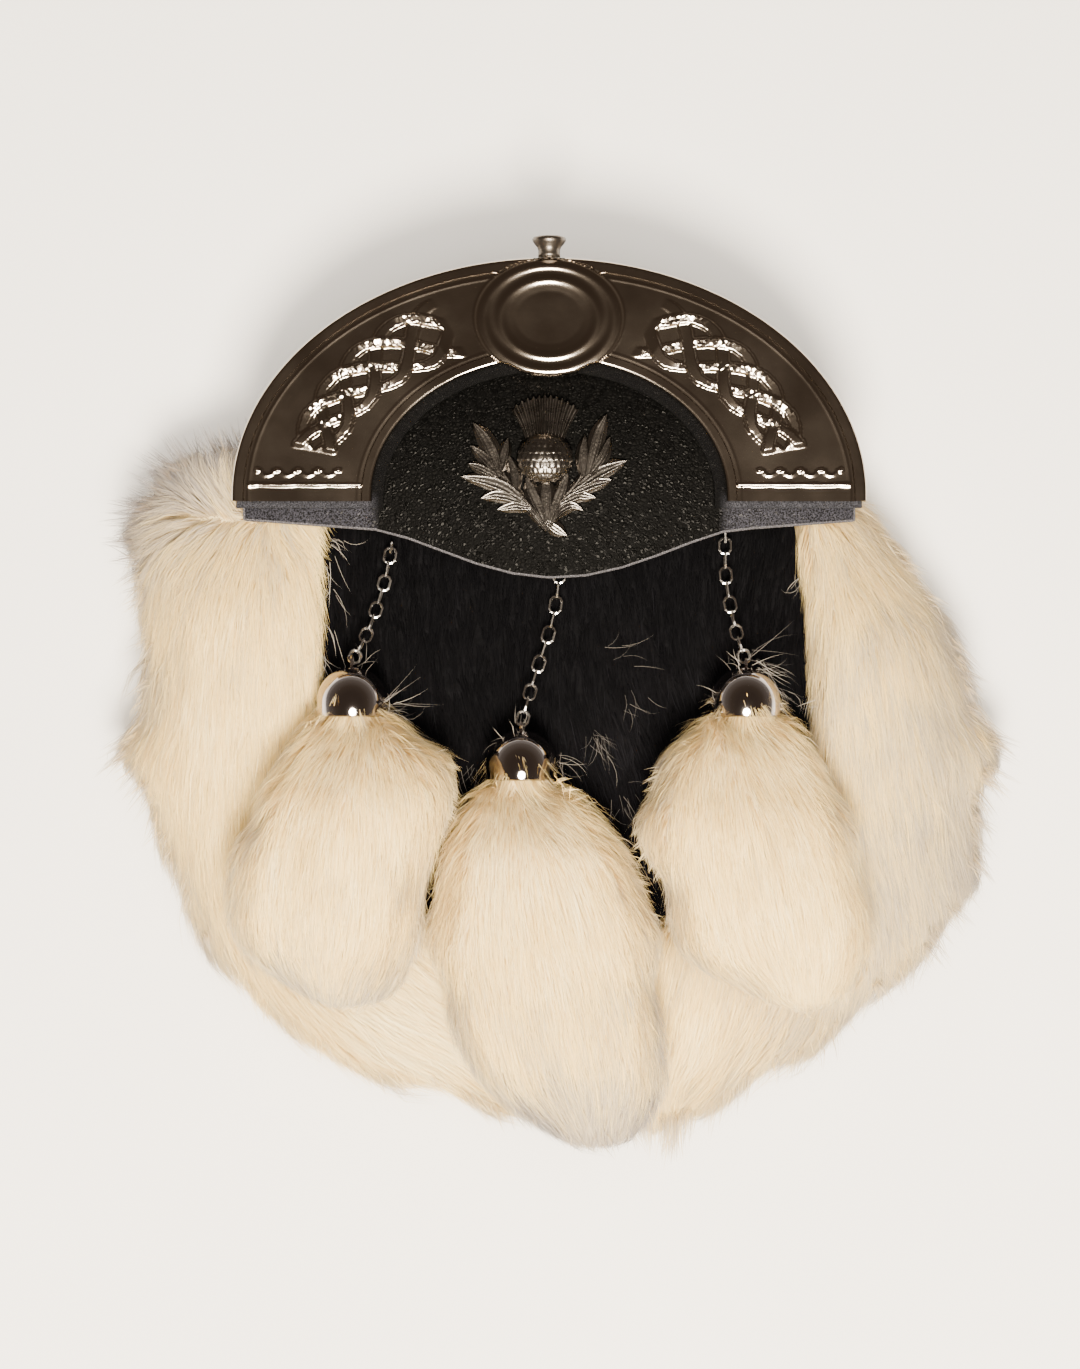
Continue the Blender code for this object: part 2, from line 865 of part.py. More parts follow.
def chain_staple(name, route, cap_place, look):
    """A wire staple in the front hide, over the end of the first link."""
    line = smooth_way(route_points(route, cap_place))
    start = line[0]
    run = line[1] - line[0]
    run.z = 0
    run.normalize()
    foot = front_height(start.x, start.y) + front_nap + fit_gap
    top = foot + staple_height - staple_wire / 2
    half = staple_span / 2
    corner = half * 0.35
    points = (
        start - run * half,
        start - run * half,
        start - run * (half - corner),
        start + run * (half - corner),
        start + run * half,
        start + run * half,
    )
    heights = (foot, top - corner, top, top, top - corner, foot)
    curve = bpy.data.curves.new(name, "CURVE")
    curve.dimensions = "3D"
    curve.bevel_depth = staple_wire / 2
    curve.bevel_resolution = 1
    curve.use_fill_caps = True
    spline = curve.splines.new("POLY")
    spline.points.add(len(points) - 1)
    for knot, point, z in zip(spline.points, points, heights):
        knot.co = (point.x, point.y, z, 1)
    curve.materials.append(look)
    item = bpy.data.objects.new(name, curve)
    bpy.context.scene.collection.objects.link(item)
    return item


def tassel_cap(name, place, look):
    """A hollow round bell cap with its mouth towards the tassel and an eye at its pole."""
    inner = cap_radius - cap_wall
    mouth = math.asin(cap_skirt / cap_radius)
    inner_mouth = math.asin(cap_skirt / inner)
    profile = []
    for k in range(cap_steps + 1):
        turn = math.pi / 2 - (math.pi / 2 + mouth) * k / cap_steps
        profile.append((cap_radius * math.cos(turn), cap_radius * math.sin(turn)))
    for k in range(cap_steps + 1):
        turn = -inner_mouth + (math.pi / 2 + inner_mouth) * k / cap_steps
        profile.append((inner * math.cos(turn), inner * math.sin(turn)))
    profile[0] = (0.0, cap_radius)
    profile[-1] = (0.0, inner)
    item = add_object(name, turned(profile, cap_sides), look)
    eye = wire_ring(eye_radius, eye_radius, eye_wire, 10, 6)
    eye.transform(Matrix.Rotation(math.radians(90), 4, "Y"))
    eye.transform(Matrix.Translation((0, cap_radius + eye_radius * 0.7, 0)))
    ring = add_object(name + "_eye", eye, look)
    ring.parent = item
    item.location = (*in_plan(place), cap_height)
    fuse(item, [ring])
    return item


def tassel(name, place, length, rows, look):
    """A fur tassel: a round head inside the cap, then locks that swell and close to pointed tips."""
    around = 16
    place = in_plan(place)
    inner = cap_radius - cap_wall
    mouth = math.asin(cap_skirt / inner)
    flats = math.cos(math.pi / cap_sides) * math.cos((math.pi / 2 + mouth) / cap_steps / 2)
    head = inner * flats - fit_gap
    rings = []
    for share in (0.80, 0.45, 0.0, -0.30):
        reach = head * math.sqrt(1 - share * share)
        ring = []
        for k in range(around):
            turn = math.tau * k / around
            x = place[0] + reach * math.cos(turn)
            ring.append((x, place[1] + head * share, cap_height + reach * math.sin(turn)))
        rings.append(ring)
    neck = inner * math.cos(mouth) * flats - fit_gap
    neck_y = place[1] - cap_skirt - fit_gap
    turns = [math.tau * k / around for k in range(around)]
    rings.append([(place[0] + neck * math.cos(t), neck_y, cap_height + neck * math.sin(t)) for t in turns])
    for n, (down, left, right, depth) in enumerate(rows):
        middle = place[0] + tassel_width * (left + right) / 2
        half = tassel_width * (right - left) / 2
        deep = tassel_depth * depth / 2
        fall = min(1.0, down / rows[2][0])
        base = tassel_floor + (1 - fall) * (cap_height - tassel_floor - deep)
        centre = base + deep
        ring = []
        for k in range(around):
            turn = math.tau * k / around
            ridge = tassel_lock * (-1) ** k * min(1.0, n / 2)
            last = tassel_tip * (k % 2) if n == len(rows) - 1 else 0.0
            z = centre + (deep + ridge / 2) * math.sin(turn)
            x = middle + (half + ridge) * math.cos(turn)
            ring.append((x, place[1] - length * down - last, max(z, tassel_floor)))
        rings.append(ring)
    left, right = rows[-1][1:3]
    tip = (place[0] + tassel_width * (left + right) / 2, place[1] - length, tassel_floor + tassel_depth * 0.15)
    first = (place[0], place[1] + head * 0.86, cap_height)
    return add_object(name, loft(rings, first, tip), look)


def fur_surround(look):
    """The white hide wall of the pouch with its coat outside it, in strips that end in tips."""
    over_front = front_face + fit_gap + front_nap + front_crown * 0.35
    rings = []
    for k in range(fur_stations + 1):
        share = k / fur_stations
        point, out = pouch_way(share, 0.0, left_limb_top, right_limb_top)
        rounding = 0.94 if k in (0, fur_stations) else 1.0
        reach = fur_reach * rounding * table_value(fur_way, share, 1)
        crest = fur_crest * rounding * table_value(fur_way, share, 2)
        roll = fur_reach * table_value(fur_way, share, 3)
        lock = fur_lock * (1 if k % 2 else -1)
        ring = []
        for n, (aside, up) in enumerate(fur_section):
            u = reach * aside
            z = crest * up
            if n > 1:
                u += lock * aside + (fur_tip if k % 4 == 1 and n == 3 else 0.0)
                z += lock * 0.4 * up
            ring.append((u, z))
        ring.append((-roll * 0.55, (crest + over_front) / 2 + roll_lip))
        ring.append((-roll, over_front + roll_lip / 2))
        ring.append((-roll + roll_lip, over_front))
        ring.append((-pouch_wall, over_front))
        ring.append((-pouch_wall, 0.0))
        rings.append([(point.x + out.x * u, point.y + out.y * u, z) for u, z in ring])
    return add_object("fur_surround", loft(rings), look)


def build():
    clear_scene()
    white_fur = material("white rabbit fur", (0.78, 0.70, 0.56), 0.9, 0.0)
    black_fur = material("black short fur", (0.008, 0.008, 0.009), 0.6, 0.0)
    leather = material("black grained leather", (0.016, 0.016, 0.015), 0.45, 0.0)
    cast_metal = material("dark chromed casting", (0.30, 0.26, 0.23), 0.2, 1.0)
    nickel = material("nickel", (0.55, 0.52, 0.49), 0.3, 1.0)
    chrome = material("chrome", (0.70, 0.68, 0.66), 0.08, 1.0)

    belt_loop(leather)
    back_panel(leather)
    fur_surround(white_fur)
    front_panel(black_fur)
    flap(leather)
    cantle_backing(leather)
    cantle(cast_metal)
    cantle_knob(nickel)
    thistle_badge(nickel)
    sets = (
        ("left", left_route, left_cap_place, side_links, side_tassel_length, left_tassel_rows),
        ("middle", middle_route, middle_cap_place, middle_links, middle_tassel_length, middle_tassel_rows),
        ("right", right_route, right_cap_place, side_links, side_tassel_length, right_tassel_rows),
    )
    for side, route, place, links, length, rows in sets:
        chain_staple("chain_staple_" + side, route, place, nickel)
        chain("chain_" + side, route, place, links, chrome)
        tassel_cap("tassel_cap_" + side, place, chrome)
        tassel("tassel_" + side, place, length, rows, white_fur)


build()
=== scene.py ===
import math

import bmesh
import bpy
import numpy as np
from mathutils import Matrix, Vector
from mathutils.bvhtree import BVHTree
from mathutils.kdtree import KDTree


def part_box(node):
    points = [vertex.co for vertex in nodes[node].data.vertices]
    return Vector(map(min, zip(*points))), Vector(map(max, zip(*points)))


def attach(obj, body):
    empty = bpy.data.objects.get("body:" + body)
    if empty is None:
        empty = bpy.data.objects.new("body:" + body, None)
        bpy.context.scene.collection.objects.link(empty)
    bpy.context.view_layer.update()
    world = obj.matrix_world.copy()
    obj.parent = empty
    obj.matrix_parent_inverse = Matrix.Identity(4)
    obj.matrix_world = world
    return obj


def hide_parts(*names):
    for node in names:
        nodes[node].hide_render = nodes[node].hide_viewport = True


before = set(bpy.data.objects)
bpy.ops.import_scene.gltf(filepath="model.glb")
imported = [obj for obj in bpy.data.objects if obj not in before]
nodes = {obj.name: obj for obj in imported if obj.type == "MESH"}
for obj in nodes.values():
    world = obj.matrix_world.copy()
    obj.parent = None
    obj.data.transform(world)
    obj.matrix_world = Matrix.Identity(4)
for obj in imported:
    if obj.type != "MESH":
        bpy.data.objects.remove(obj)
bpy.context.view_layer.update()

MM = 0.001

# The photograph's camera, worked out from the sizes of the cantle: straight above, 800 mm up.
photo_width = 1080
photo_height = 1369
camera_place = (-2.2 * MM, -45.2 * MM, 800 * MM)
camera_lens = 82.6
camera_sensor = 36.0
pixels_to_a_unit = camera_lens / camera_sensor * photo_height

# The coat of the fur: depth of hair over the hide, widths of drawn hairs, and how many hairs and locks.
# Real hairs are several times thinner. These are drawn as wide as they need to be to show in the render.
coat_depth = 2.4 * MM
hair_width = 0.22 * MM
panel_hair_width = 0.24 * MM
fringe_width = 0.17 * MM
stray_width = 0.075 * MM
foot_tuft_width = 0.18 * MM
hair_segments = 2
guide_steps = 6
surround_hairs = 138000
surround_locks = 7000
tassel_hairs = 28000
tassel_locks = 1800
panel_hairs = 16000
panel_locks = 1500
lowest_hair = 0.4 * MM

# The heights at which the fur's layers are read from the photograph.
surround_level = 25 * MM
outline_level = 20 * MM
opening_level = 36 * MM
panel_level = 34 * MM

# The cantle, as in the part's source.
cantle_half_width = 76.2 * MM
cantle_height = 57.2 * MM
arch_half_width = 42.6 * MM
arch_height = 33.0 * MM
cantle_back = 42.9 * MM
cantle_face = 46.4 * MM
boss_middle = 42.7 * MM
boss_half_width = 18.2 * MM
boss_half_height = 14.5 * MM

# How far the casting's rims and its boss stand up from the plate, and how deep the boss's dish is.
outer_rim_height = 0.55 * MM
inner_rim_height = 0.5 * MM
boss_height = 0.6 * MM
boss_dish = 0.2 * MM

# The casting's plait on each side: where it starts and how far it runs round the arch, its length, how many
# strands it has, how far they sway and how often they turn, the share of the casting's width that its middle
# runs at, and a strand's half width, height and rise at a crossing.
plait_start = math.radians(24)
plait_run = math.radians(52)
plait_length = 46 * MM
plait_strands = 4
plait_sway = 5.7 * MM
plait_turns = 1.2 * math.tau
plait_middle = 0.47
strand_half_width = 1.3 * MM
strand_height = 0.40 * MM
strand_rise = 0.18 * MM

# The row of beads over each foot: how many, the first one's place, their gap, the row's height, their radius
# and the radius of the scallops between them.
bead_count = 5
first_bead = 50.5 * MM
bead_gap = 4.9 * MM
bead_row = 6.2 * MM
bead_radius = 0.6 * MM
scallop_radius = 1.7 * MM

# The paler strip under each of the cantle's feet, painted light where the leather's edges catch the light
# there: where it fades in, downwards and outwards.
strip_down = (1.5 * MM, -0.5 * MM)
strip_aside = (41 * MM, 44 * MM)

# The tassels' bell caps: middle x and y, as in the part's source.
cap_places = {
    "left": (-47.4 * MM, -49.4 * MM),
    "middle": (-6.8 * MM, -64.6 * MM),
    "right": (47.3 * MM, -49.4 * MM),
}
cap_radius = 8.5 * MM
cap_skirt = 3.5 * MM
cap_wall = 0.8 * MM
cap_height = 45.0 * MM

# The cantle's turned knob: its foot on the top edge, and its profile as radius and way out, in mm.
knob_place = (0, 57.3 * MM, 46.5 * MM)
knob_profile = ((0, 0), (2.7, 0), (2.6, 0.8), (2.6, 1.6), (2.9, 2.4), (3.6, 3.2), (4.0, 3.8), (4.05, 4.3),
                (3.8, 4.7), (3.0, 4.9), (0, 5.0))


def seen(across, down, height):
    """The plan place of a pixel of the photograph, for something at that height."""
    scale = (camera_place[2] - height) / pixels_to_a_unit
    x = camera_place[0] + (across - photo_width / 2) * scale
    y = camera_place[1] - (down - photo_height / 2) * scale
    return x, y


def colour(text):
    """An sRGB hex colour as the linear colour that a shader takes."""
    parts = [int(text[i:i + 2], 16) / 255 for i in (0, 2, 4)]
    linear = [p / 12.92 if p <= 0.04045 else ((p + 0.055) / 1.055) ** 2.4 for p in parts]
    return (*linear, 1.0)


def add(tree, kind, settings=None, values=None, links=None, stops=None):
    """Adds a node with its settings, its sockets' values, what feeds its sockets, and a ramp's stops."""
    node = tree.nodes.new(kind)
    for name, value in (settings or {}).items():
        setattr(node, name, value)
    for name, value in (values or {}).items():
        node.inputs[name].default_value = value
    for name, source in (links or {}).items():
        tree.links.new(source, node.inputs[name])
    if stops:
        ramp = node.color_ramp
        while len(ramp.elements) < len(stops):
            ramp.elements.new(0.5)
        for element, (place, shade) in zip(ramp.elements, stops):
            element.position = place
            element.color = shade
    return node


def new_material(name, values):
    """A new material, its node tree, and the shader that its output reads, with constant values set on it."""
    made = bpy.data.materials.new(name)
    made.use_nodes = True
    tree = made.node_tree
    tree.nodes.clear()
    shader = add(tree, "ShaderNodeBsdfPrincipled", values=values)
    add(tree, "ShaderNodeOutputMaterial", links={"Surface": shader.outputs["BSDF"]})
    return made, tree, shader


def grey(level):
    """A grey as a shader takes it."""
    return (level, level, level, 1.0)


def noise(tree, place, size, detail=2.0, roughness=0.5):
    """Noise on the piece's own coordinates, in patches as large as size."""
    return add(tree, "ShaderNodeTexNoise",
               values={"Scale": 1 / size, "Detail": detail, "Roughness": roughness},
               links={"Vector": place.outputs["Object"]})


def bump(tree, shader, height, distance, strength, under=None):
    """Feeds a height to the shader's normal; distance is the relief's real depth."""
    links = {"Height": height}
    if under:
        links["Normal"] = under.outputs["Normal"]
    made = add(tree, "ShaderNodeBump", values={"Distance": distance, "Strength": strength}, links=links)
    tree.links.new(made.outputs["Normal"], shader.inputs["Normal"])
    return made


# Materials


def hair_material(name, shades, painted_root_shade, roughness, sheen, shine):
    """Hair as ribbons: their map gives each hair's own tint, and the way along it from root to tip; towards
    the root the tint darkens, painted shade deep in the coat.
    """
    made, tree, shader = new_material(
        name, {"Roughness": roughness, "Sheen Weight": sheen, "Specular IOR Level": shine})
    own_map = add(tree, "ShaderNodeUVMap", {"uv_map": "OFBake"})
    parts = add(tree, "ShaderNodeSeparateXYZ", links={"Vector": own_map.outputs["UV"]})
    tint = add(tree, "ShaderNodeValToRGB", links={"Fac": parts.outputs["X"]}, stops=shades)
    # Darker roots: painted shade between the hairs.
    depth = add(tree, "ShaderNodeValToRGB", links={"Fac": parts.outputs["Y"]},
                stops=[(0.0, painted_root_shade), (0.45, grey(1.0))])
    mixed = add(tree, "ShaderNodeMix", {"data_type": "RGBA", "blend_type": "MULTIPLY"}, values={0: 1.0},
                links={6: tint.outputs["Color"], 7: depth.outputs["Color"]})
    tree.links.new(mixed.outputs[2], shader.inputs["Base Color"])
    return made


def hide_material(name, dark, light, lock, shine=0.3):
    """The undercoat and hide between the hairs: matt, mottled at the size of a lock."""
    made, tree, shader = new_material(name, {"Roughness": 0.85, "Specular IOR Level": shine})
    place = add(tree, "ShaderNodeTexCoord")
    mottle = noise(tree, place, lock, detail=5.0, roughness=0.6)
    shade = add(tree, "ShaderNodeValToRGB", links={"Fac": mottle.outputs["Fac"]},
                stops=[(0.3, dark), (0.7, light)])
    tree.links.new(shade.outputs["Color"], shader.inputs["Base Color"])
    bump(tree, shader, mottle.outputs["Fac"], 1.0 * MM, 0.6)
    return made


def by_the_feet(tree, place):
    """One on the strips of leather just under the cantle's feet, nought elsewhere."""
    parts = add(tree, "ShaderNodeSeparateXYZ", links={"Vector": place.outputs["Object"]})
    below = add(tree, "ShaderNodeMapRange", values={"From Min": strip_down[0], "From Max": strip_down[1]},
                links={"Value": parts.outputs["Y"]})
    aside = add(tree, "ShaderNodeMath", {"operation": "ABSOLUTE"}, links={0: parts.outputs["X"]})
    out = add(tree, "ShaderNodeMapRange", values={"From Min": strip_aside[0], "From Max": strip_aside[1]},
              links={"Value": aside.outputs["Value"]})
    return add(tree, "ShaderNodeMath", {"operation": "MULTIPLY"},
               links={0: below.outputs["Result"], 1: out.outputs["Result"]})


def leather_material(name, dark, light, grain, relief, roughness, shine=0.09, painted_light_strip=None):
    """Cowhide, dyed and finished: pebbles of a real grain's size, fine creases, wax shine on some pebbles."""
    made, tree, shader = new_material(name, {"Specular IOR Level": shine})
    place = add(tree, "ShaderNodeTexCoord")
    drift = noise(tree, place, grain / 0.35, detail=3.0)
    push = add(tree, "ShaderNodeVectorMath", {"operation": "SCALE"}, values={"Scale": grain * 0.9},
               links={"Vector": drift.outputs["Color"]})
    moved = add(tree, "ShaderNodeVectorMath", {"operation": "ADD"},
                links={0: place.outputs["Object"], 1: push.outputs["Vector"]})
    pebbles = add(tree, "ShaderNodeTexVoronoi", {"feature": "DISTANCE_TO_EDGE"},
                  values={"Scale": 1.0 / grain}, links={"Vector": moved.outputs["Vector"]})
    tops = add(tree, "ShaderNodeValToRGB", links={"Fac": pebbles.outputs["Distance"]},
               stops=[(0.0, grey(0.0)), (0.5, grey(1.0))])
    fine = noise(tree, place, grain / 2.2, detail=4.0, roughness=0.65)
    cells = add(tree, "ShaderNodeTexVoronoi", values={"Scale": 1.0 / grain},
                links={"Vector": moved.outputs["Vector"]})
    own_shine = add(tree, "ShaderNodeSeparateColor", links={"Color": cells.outputs["Color"]})
    # Pebble tops are lighter than the creases between them: painted shade in the creases.
    shade = add(tree, "ShaderNodeValToRGB", links={"Fac": tops.outputs["Color"]},
                stops=[(0.0, dark), (1.0, light)])
    tint = shade.outputs["Color"]
    # The paler, fibrous strip under the cantle's feet is painted light, where the leather's edges there catch
    # the light.
    if painted_light_strip:
        fibres = add(tree, "ShaderNodeValToRGB", links={"Fac": fine.outputs["Fac"]},
                     stops=[(0.42, light), (0.58, painted_light_strip)])
        mixed = add(tree, "ShaderNodeMix", {"data_type": "RGBA"},
                    links={0: by_the_feet(tree, place).outputs["Value"], 6: tint, 7: fibres.outputs["Color"]})
        tint = mixed.outputs[2]
    tree.links.new(tint, shader.inputs["Base Color"])
    gloss = add(tree, "ShaderNodeValToRGB", links={"Fac": own_shine.outputs["Red"]},
                stops=[(0.0, grey(roughness - 0.12)), (0.35, grey(roughness - 0.08)),
                       (0.45, grey(roughness + 0.15)), (1.0, grey(roughness + 0.2))])
    tree.links.new(gloss.outputs["Color"], shader.inputs["Roughness"])
    first = bump(tree, shader, tops.outputs["Color"], relief, 0.9)
    bump(tree, shader, fine.outputs["Fac"], relief * 0.3, 0.5, first)
    return made


def metal_material(name, shade, roughness, relief, pitch):
    """Plated metal: a mirror-like plate over a skin that ripples at a pitch, rubbed in larger patches."""
    made, tree, shader = new_material(name, {"Base Color": shade, "Metallic": 1.0})
    place = add(tree, "ShaderNodeTexCoord")
    ripple = noise(tree, place, pitch, detail=4.0, roughness=0.55)
    rub = noise(tree, place, pitch / 0.15, detail=5.0)
    gloss = add(tree, "ShaderNodeMapRange", values={"To Min": roughness * 0.6, "To Max": roughness * 1.5},
                links={"Value": rub.outputs["Fac"]})
    tree.links.new(gloss.outputs["Result"], shader.inputs["Roughness"])
    bump(tree, shader, ripple.outputs["Fac"], relief, 0.5)
    return made


def casting_material(name, shade, roughness, facet=0.55 * MM):
    """The cantle's casting: plated metal whose plait is cut in small facets, where the attribute says.

    Each facet leans its own way, so that single ones catch the softbox. They are drawn coarser than the real
    casting's dots, because finer ones don't show in the render.
    """
    made, tree, shader = new_material(name, {"Base Color": shade, "Metallic": 1.0})
    place = add(tree, "ShaderNodeTexCoord")
    bars = add(tree, "ShaderNodeAttribute", {"attribute_name": "bars"})
    facets = add(tree, "ShaderNodeTexVoronoi", values={"Scale": 1 / facet, "Randomness": 0.8},
                 links={"Vector": place.outputs["Object"]})
    lean = add(tree, "ShaderNodeVectorMath", {"operation": "SUBTRACT"}, values={1: (0.5, 0.88, 0.5)},
               links={0: facets.outputs["Color"]})
    reach = add(tree, "ShaderNodeMath", {"operation": "MULTIPLY"}, values={1: 0.48},
                links={0: bars.outputs["Fac"]})
    tilt = add(tree, "ShaderNodeVectorMath", {"operation": "SCALE"},
               links={"Vector": lean.outputs["Vector"], "Scale": reach.outputs["Value"]})
    surface = add(tree, "ShaderNodeNewGeometry")
    tilted = add(tree, "ShaderNodeVectorMath", {"operation": "ADD"},
                 links={0: surface.outputs["Normal"], 1: tilt.outputs["Vector"]})
    facing = add(tree, "ShaderNodeVectorMath", {"operation": "NORMALIZE"},
                 links={0: tilted.outputs["Vector"]})
    ripple = noise(tree, place, 3.5 * MM, detail=3.0)
    rub = noise(tree, place, 14 * MM, detail=6.0)
    smooth = add(tree, "ShaderNodeMapRange", values={"To Min": roughness * 0.6, "To Max": roughness * 1.6},
                 links={"Value": rub.outputs["Fac"]})
    tree.links.new(smooth.outputs["Result"], shader.inputs["Roughness"])
    skin = bump(tree, shader, ripple.outputs["Fac"], 0.06 * MM, 0.35)
    tree.links.new(facing.outputs["Vector"], skin.inputs["Normal"])
    return made


def floor_material():
    """A paper backdrop: matt, very slightly mottled."""
    made, tree, shader = new_material("backdrop_paper", {"Roughness": 0.9})
    place = add(tree, "ShaderNodeTexCoord")
    mottle = noise(tree, place, 111 * MM)
    shade = add(tree, "ShaderNodeValToRGB", links={"Fac": mottle.outputs["Fac"]},
                stops=[(0.3, colour("F4F3F1")), (0.7, colour("F8F7F5"))])
    tree.links.new(shade.outputs["Color"], shader.inputs["Base Color"])
    return made


# Long soft hair: cream where it is thick, greyer at its edges and in its hollows, which is partly painted
# shade, and darker at its roots, painted shade between the hairs.
white_hair = hair_material(
    "rabbit_fur_white",
    [(0.0, colour("86807E")), (0.35, colour("C6B698")), (0.7, colour("F8DB8C")), (1.0, colour("FFEEB8"))],
    colour("DACAAA"), 0.6, 0.15, 0.2)
# The woolly undercoat: a warm ground in the gaps between the hairs, so that the coat looks thick; darker than
# the hair, it is painted shade in those gaps.
white_hide_painted_shade = hide_material("rabbit_undercoat_painted_shade", colour("D6C090"), colour("EAD49F"), 4 * MM)
# Short dyed hair: nearly black, with a faint shine that runs down the front.
black_hair = hair_material(
    "dyed_hide_hair_black",
    [(0.0, colour("050506")), (0.7, colour("0B0B0D")), (1.0, colour("17171A"))], grey(0.7), 0.6, 0.0, 0.02)
# The dyed hide under it: keeps the front deep black between the hairs.
black_hide = hide_material("dyed_hide_black", colour("060607"), colour("0D0D0F"), 3 * MM, 0.03)
# Shed guard hairs: pale single strokes over the black; on the front, the same strokes are painted sheen on
# the black hair.
grey_hair = hair_material(
    "stray_hair_and_painted_sheen", [(0.0, colour("2A2725")), (0.6, colour("7C766F")), (1.0, colour("C8C0B4"))],
    grey(0.8), 0.5, 0.1, 0.3)
# Grained leather: fine points of light on black, and a greyer strip under the cantle's feet, painted light
# where its edge catches the light.
flap_leather = leather_material("black_pebbled_cowhide", colour("030303"), colour("090908"),
                                0.85 * MM, 0.11 * MM, 0.34, 0.028, colour("34343B"))
# Split leather: a dull, fibrous dark band inside the arch, with the same painted light strip under the feet.
backing_leather = leather_material("black_split_leather", colour("080808"), colour("141416"),
                                   0.45 * MM, 0.3 * MM, 0.6, 0.07, colour("42434A"))
# Cut edges: the pale, rough line that follows the flap's lip.
cut_leather = leather_material("cut_leather_edge", colour("3A3A3C"), colour("84828A"),
                               0.45 * MM, 0.3 * MM, 0.75)
# Smooth leather behind: plain, dark and soft in its shine.
back_leather = leather_material("black_smooth_cowhide", colour("0A0A0A"), colour("141413"),
                                0.7 * MM, 0.12 * MM, 0.5)
# The cantle's plate: mirrors the dim room as warm brown, and its plait sparkles.
casting = casting_material("antiqued_chrome_casting", colour("AFA59A"), 0.13)
# The badge: duller and greyer than the plate, with light on its leaves' edges.
badge_metal = metal_material("pewter_badge_casting", colour("726E6A"), 0.26, 0.14 * MM, 0.6 * MM)
# The bell caps: near mirrors, which show the fur around them.
chrome = metal_material("polished_chrome", colour("B8B2B2"), 0.07, 0.02 * MM, 4 * MM)
# The knob: a dull turned metal without a mirror image.
nickel = metal_material("matt_nickel", colour("67615B"), 0.34, 0.05 * MM, 0.7 * MM)
# The chains: bright wire, which stands out against the black.
chain_metal = metal_material("nickel_plated_wire", colour("CFCDCB"), 0.24, 0.03 * MM, 1.2 * MM)


# Meshes


def put(name, mesh, material):
    """Links a finished mesh into the scene as a piece, with its material."""
    piece = bpy.data.objects.new(name, mesh)
    bpy.context.scene.collection.objects.link(piece)
    mesh.materials.clear()
    mesh.materials.append(material)
    return piece


def cad_copy(node):
    """A bmesh of a node's own shape, its loose triangles joined."""
    shape = bmesh.new()
    shape.from_mesh(nodes[node].data)
    bmesh.ops.remove_doubles(shape, verts=shape.verts, dist=0.002 * MM)
    return shape


def finish_mesh(shape, name, smooth=True):
    """Turns a bmesh into a mesh, with smooth faces where asked."""
    mesh = bpy.data.meshes.new(name)
    for face in shape.faces:
        face.smooth = smooth
    shape.to_mesh(mesh)
    shape.free()
    return mesh


def with_modifier(mesh, kind, settings):
    """The mesh with one modifier applied."""
    holder = bpy.data.objects.new("holder", mesh)
    bpy.context.scene.collection.objects.link(holder)
    modifier = holder.modifiers.new(kind, kind)
    for name, value in settings.items():
        setattr(modifier, name, value)
    evaluated = holder.evaluated_get(bpy.context.evaluated_depsgraph_get())
    made = bpy.data.meshes.new_from_object(evaluated)
    bpy.data.objects.remove(holder)
    return made


def rounded_copy(node, width, angle=35):
    """A node's own shape with its sharp edges rounded over, as cut leather has them."""
    shape = cad_copy(node)
    bmesh.ops.dissolve_limit(shape, angle_limit=math.radians(1.0), verts=shape.verts, edges=shape.edges)
    bmesh.ops.triangulate(shape, faces=[f for f in shape.faces if len(f.verts) > 4])
    sharp = [e for e in shape.edges if len(e.link_faces) == 2 and e.calc_face_angle() > math.radians(angle)]
    bmesh.ops.bevel(shape, geom=sharp, offset=width, segments=2, profile=0.5, affect="EDGES", material=-1,
                    clamp_overlap=True)
    return finish_mesh(shape, node + "_rounded")


def turned(name, profile, middle, steps=48):
    """A turned shape about an axis along Y: the profile gives (radius, way along the axis)."""
    shape = bmesh.new()
    points = [shape.verts.new((middle[0] + r, middle[1] + y, middle[2])) for r, y in profile]
    edges = [shape.edges.new(pair) for pair in zip(points, points[1:])]
    bmesh.ops.spin(shape, geom=points + edges, cent=middle, axis=(0, 1, 0), angle=math.tau, steps=steps,
                   use_merge=True)
    bmesh.ops.remove_doubles(shape, verts=shape.verts, dist=0.005 * MM)
    bmesh.ops.recalc_face_normals(shape, faces=shape.faces)
    return finish_mesh(shape, name)


def close_below(shape, level):
    """Takes a raised sheet's edge straight down to a level and closes it there."""
    rim = [e for e in shape.edges if e.is_boundary]
    for edge in rim:
        edge.smooth = False
    skirt = bmesh.ops.extrude_edge_only(shape, edges=rim)["geom"]
    for vert in [g for g in skirt if isinstance(g, bmesh.types.BMVert)]:
        vert.co.z = level
    low_edges = [g for g in skirt if isinstance(g, bmesh.types.BMEdge) and g.is_boundary]
    bmesh.ops.contextual_create(shape, geom=low_edges)
    bmesh.ops.recalc_face_normals(shape, faces=shape.faces)


# Fur


def smooth_over(shape, rounds):
    """Rounds a shape over: each corner goes half way to the middle of its neighbours, some times over."""
    for _ in range(rounds):
        bmesh.ops.smooth_vert(shape, verts=shape.verts, factor=0.5, use_axis_x=True, use_axis_y=True,
                              use_axis_z=True)


def skin_of(node, voxel, rounds, drawn_in):
    """The hide under the hair: the node's shape evened, rounded and drawn in to leave room for the coat."""
    start = finish_mesh(cad_copy(node), node + "_start")
    even = with_modifier(start, "REMESH", {"mode": "VOXEL", "voxel_size": voxel})
    shape = bmesh.new()
    shape.from_mesh(even)
    smooth_over(shape, rounds)
    shape.normal_update()
    for vert in shape.verts:
        vert.co -= vert.normal * drawn_in
        vert.co.z = max(vert.co.z, 0.6 * MM)
    smooth_over(shape, 4)
    bmesh.ops.triangulate(shape, faces=shape.faces)
    return finish_mesh(shape, node + "_hide")


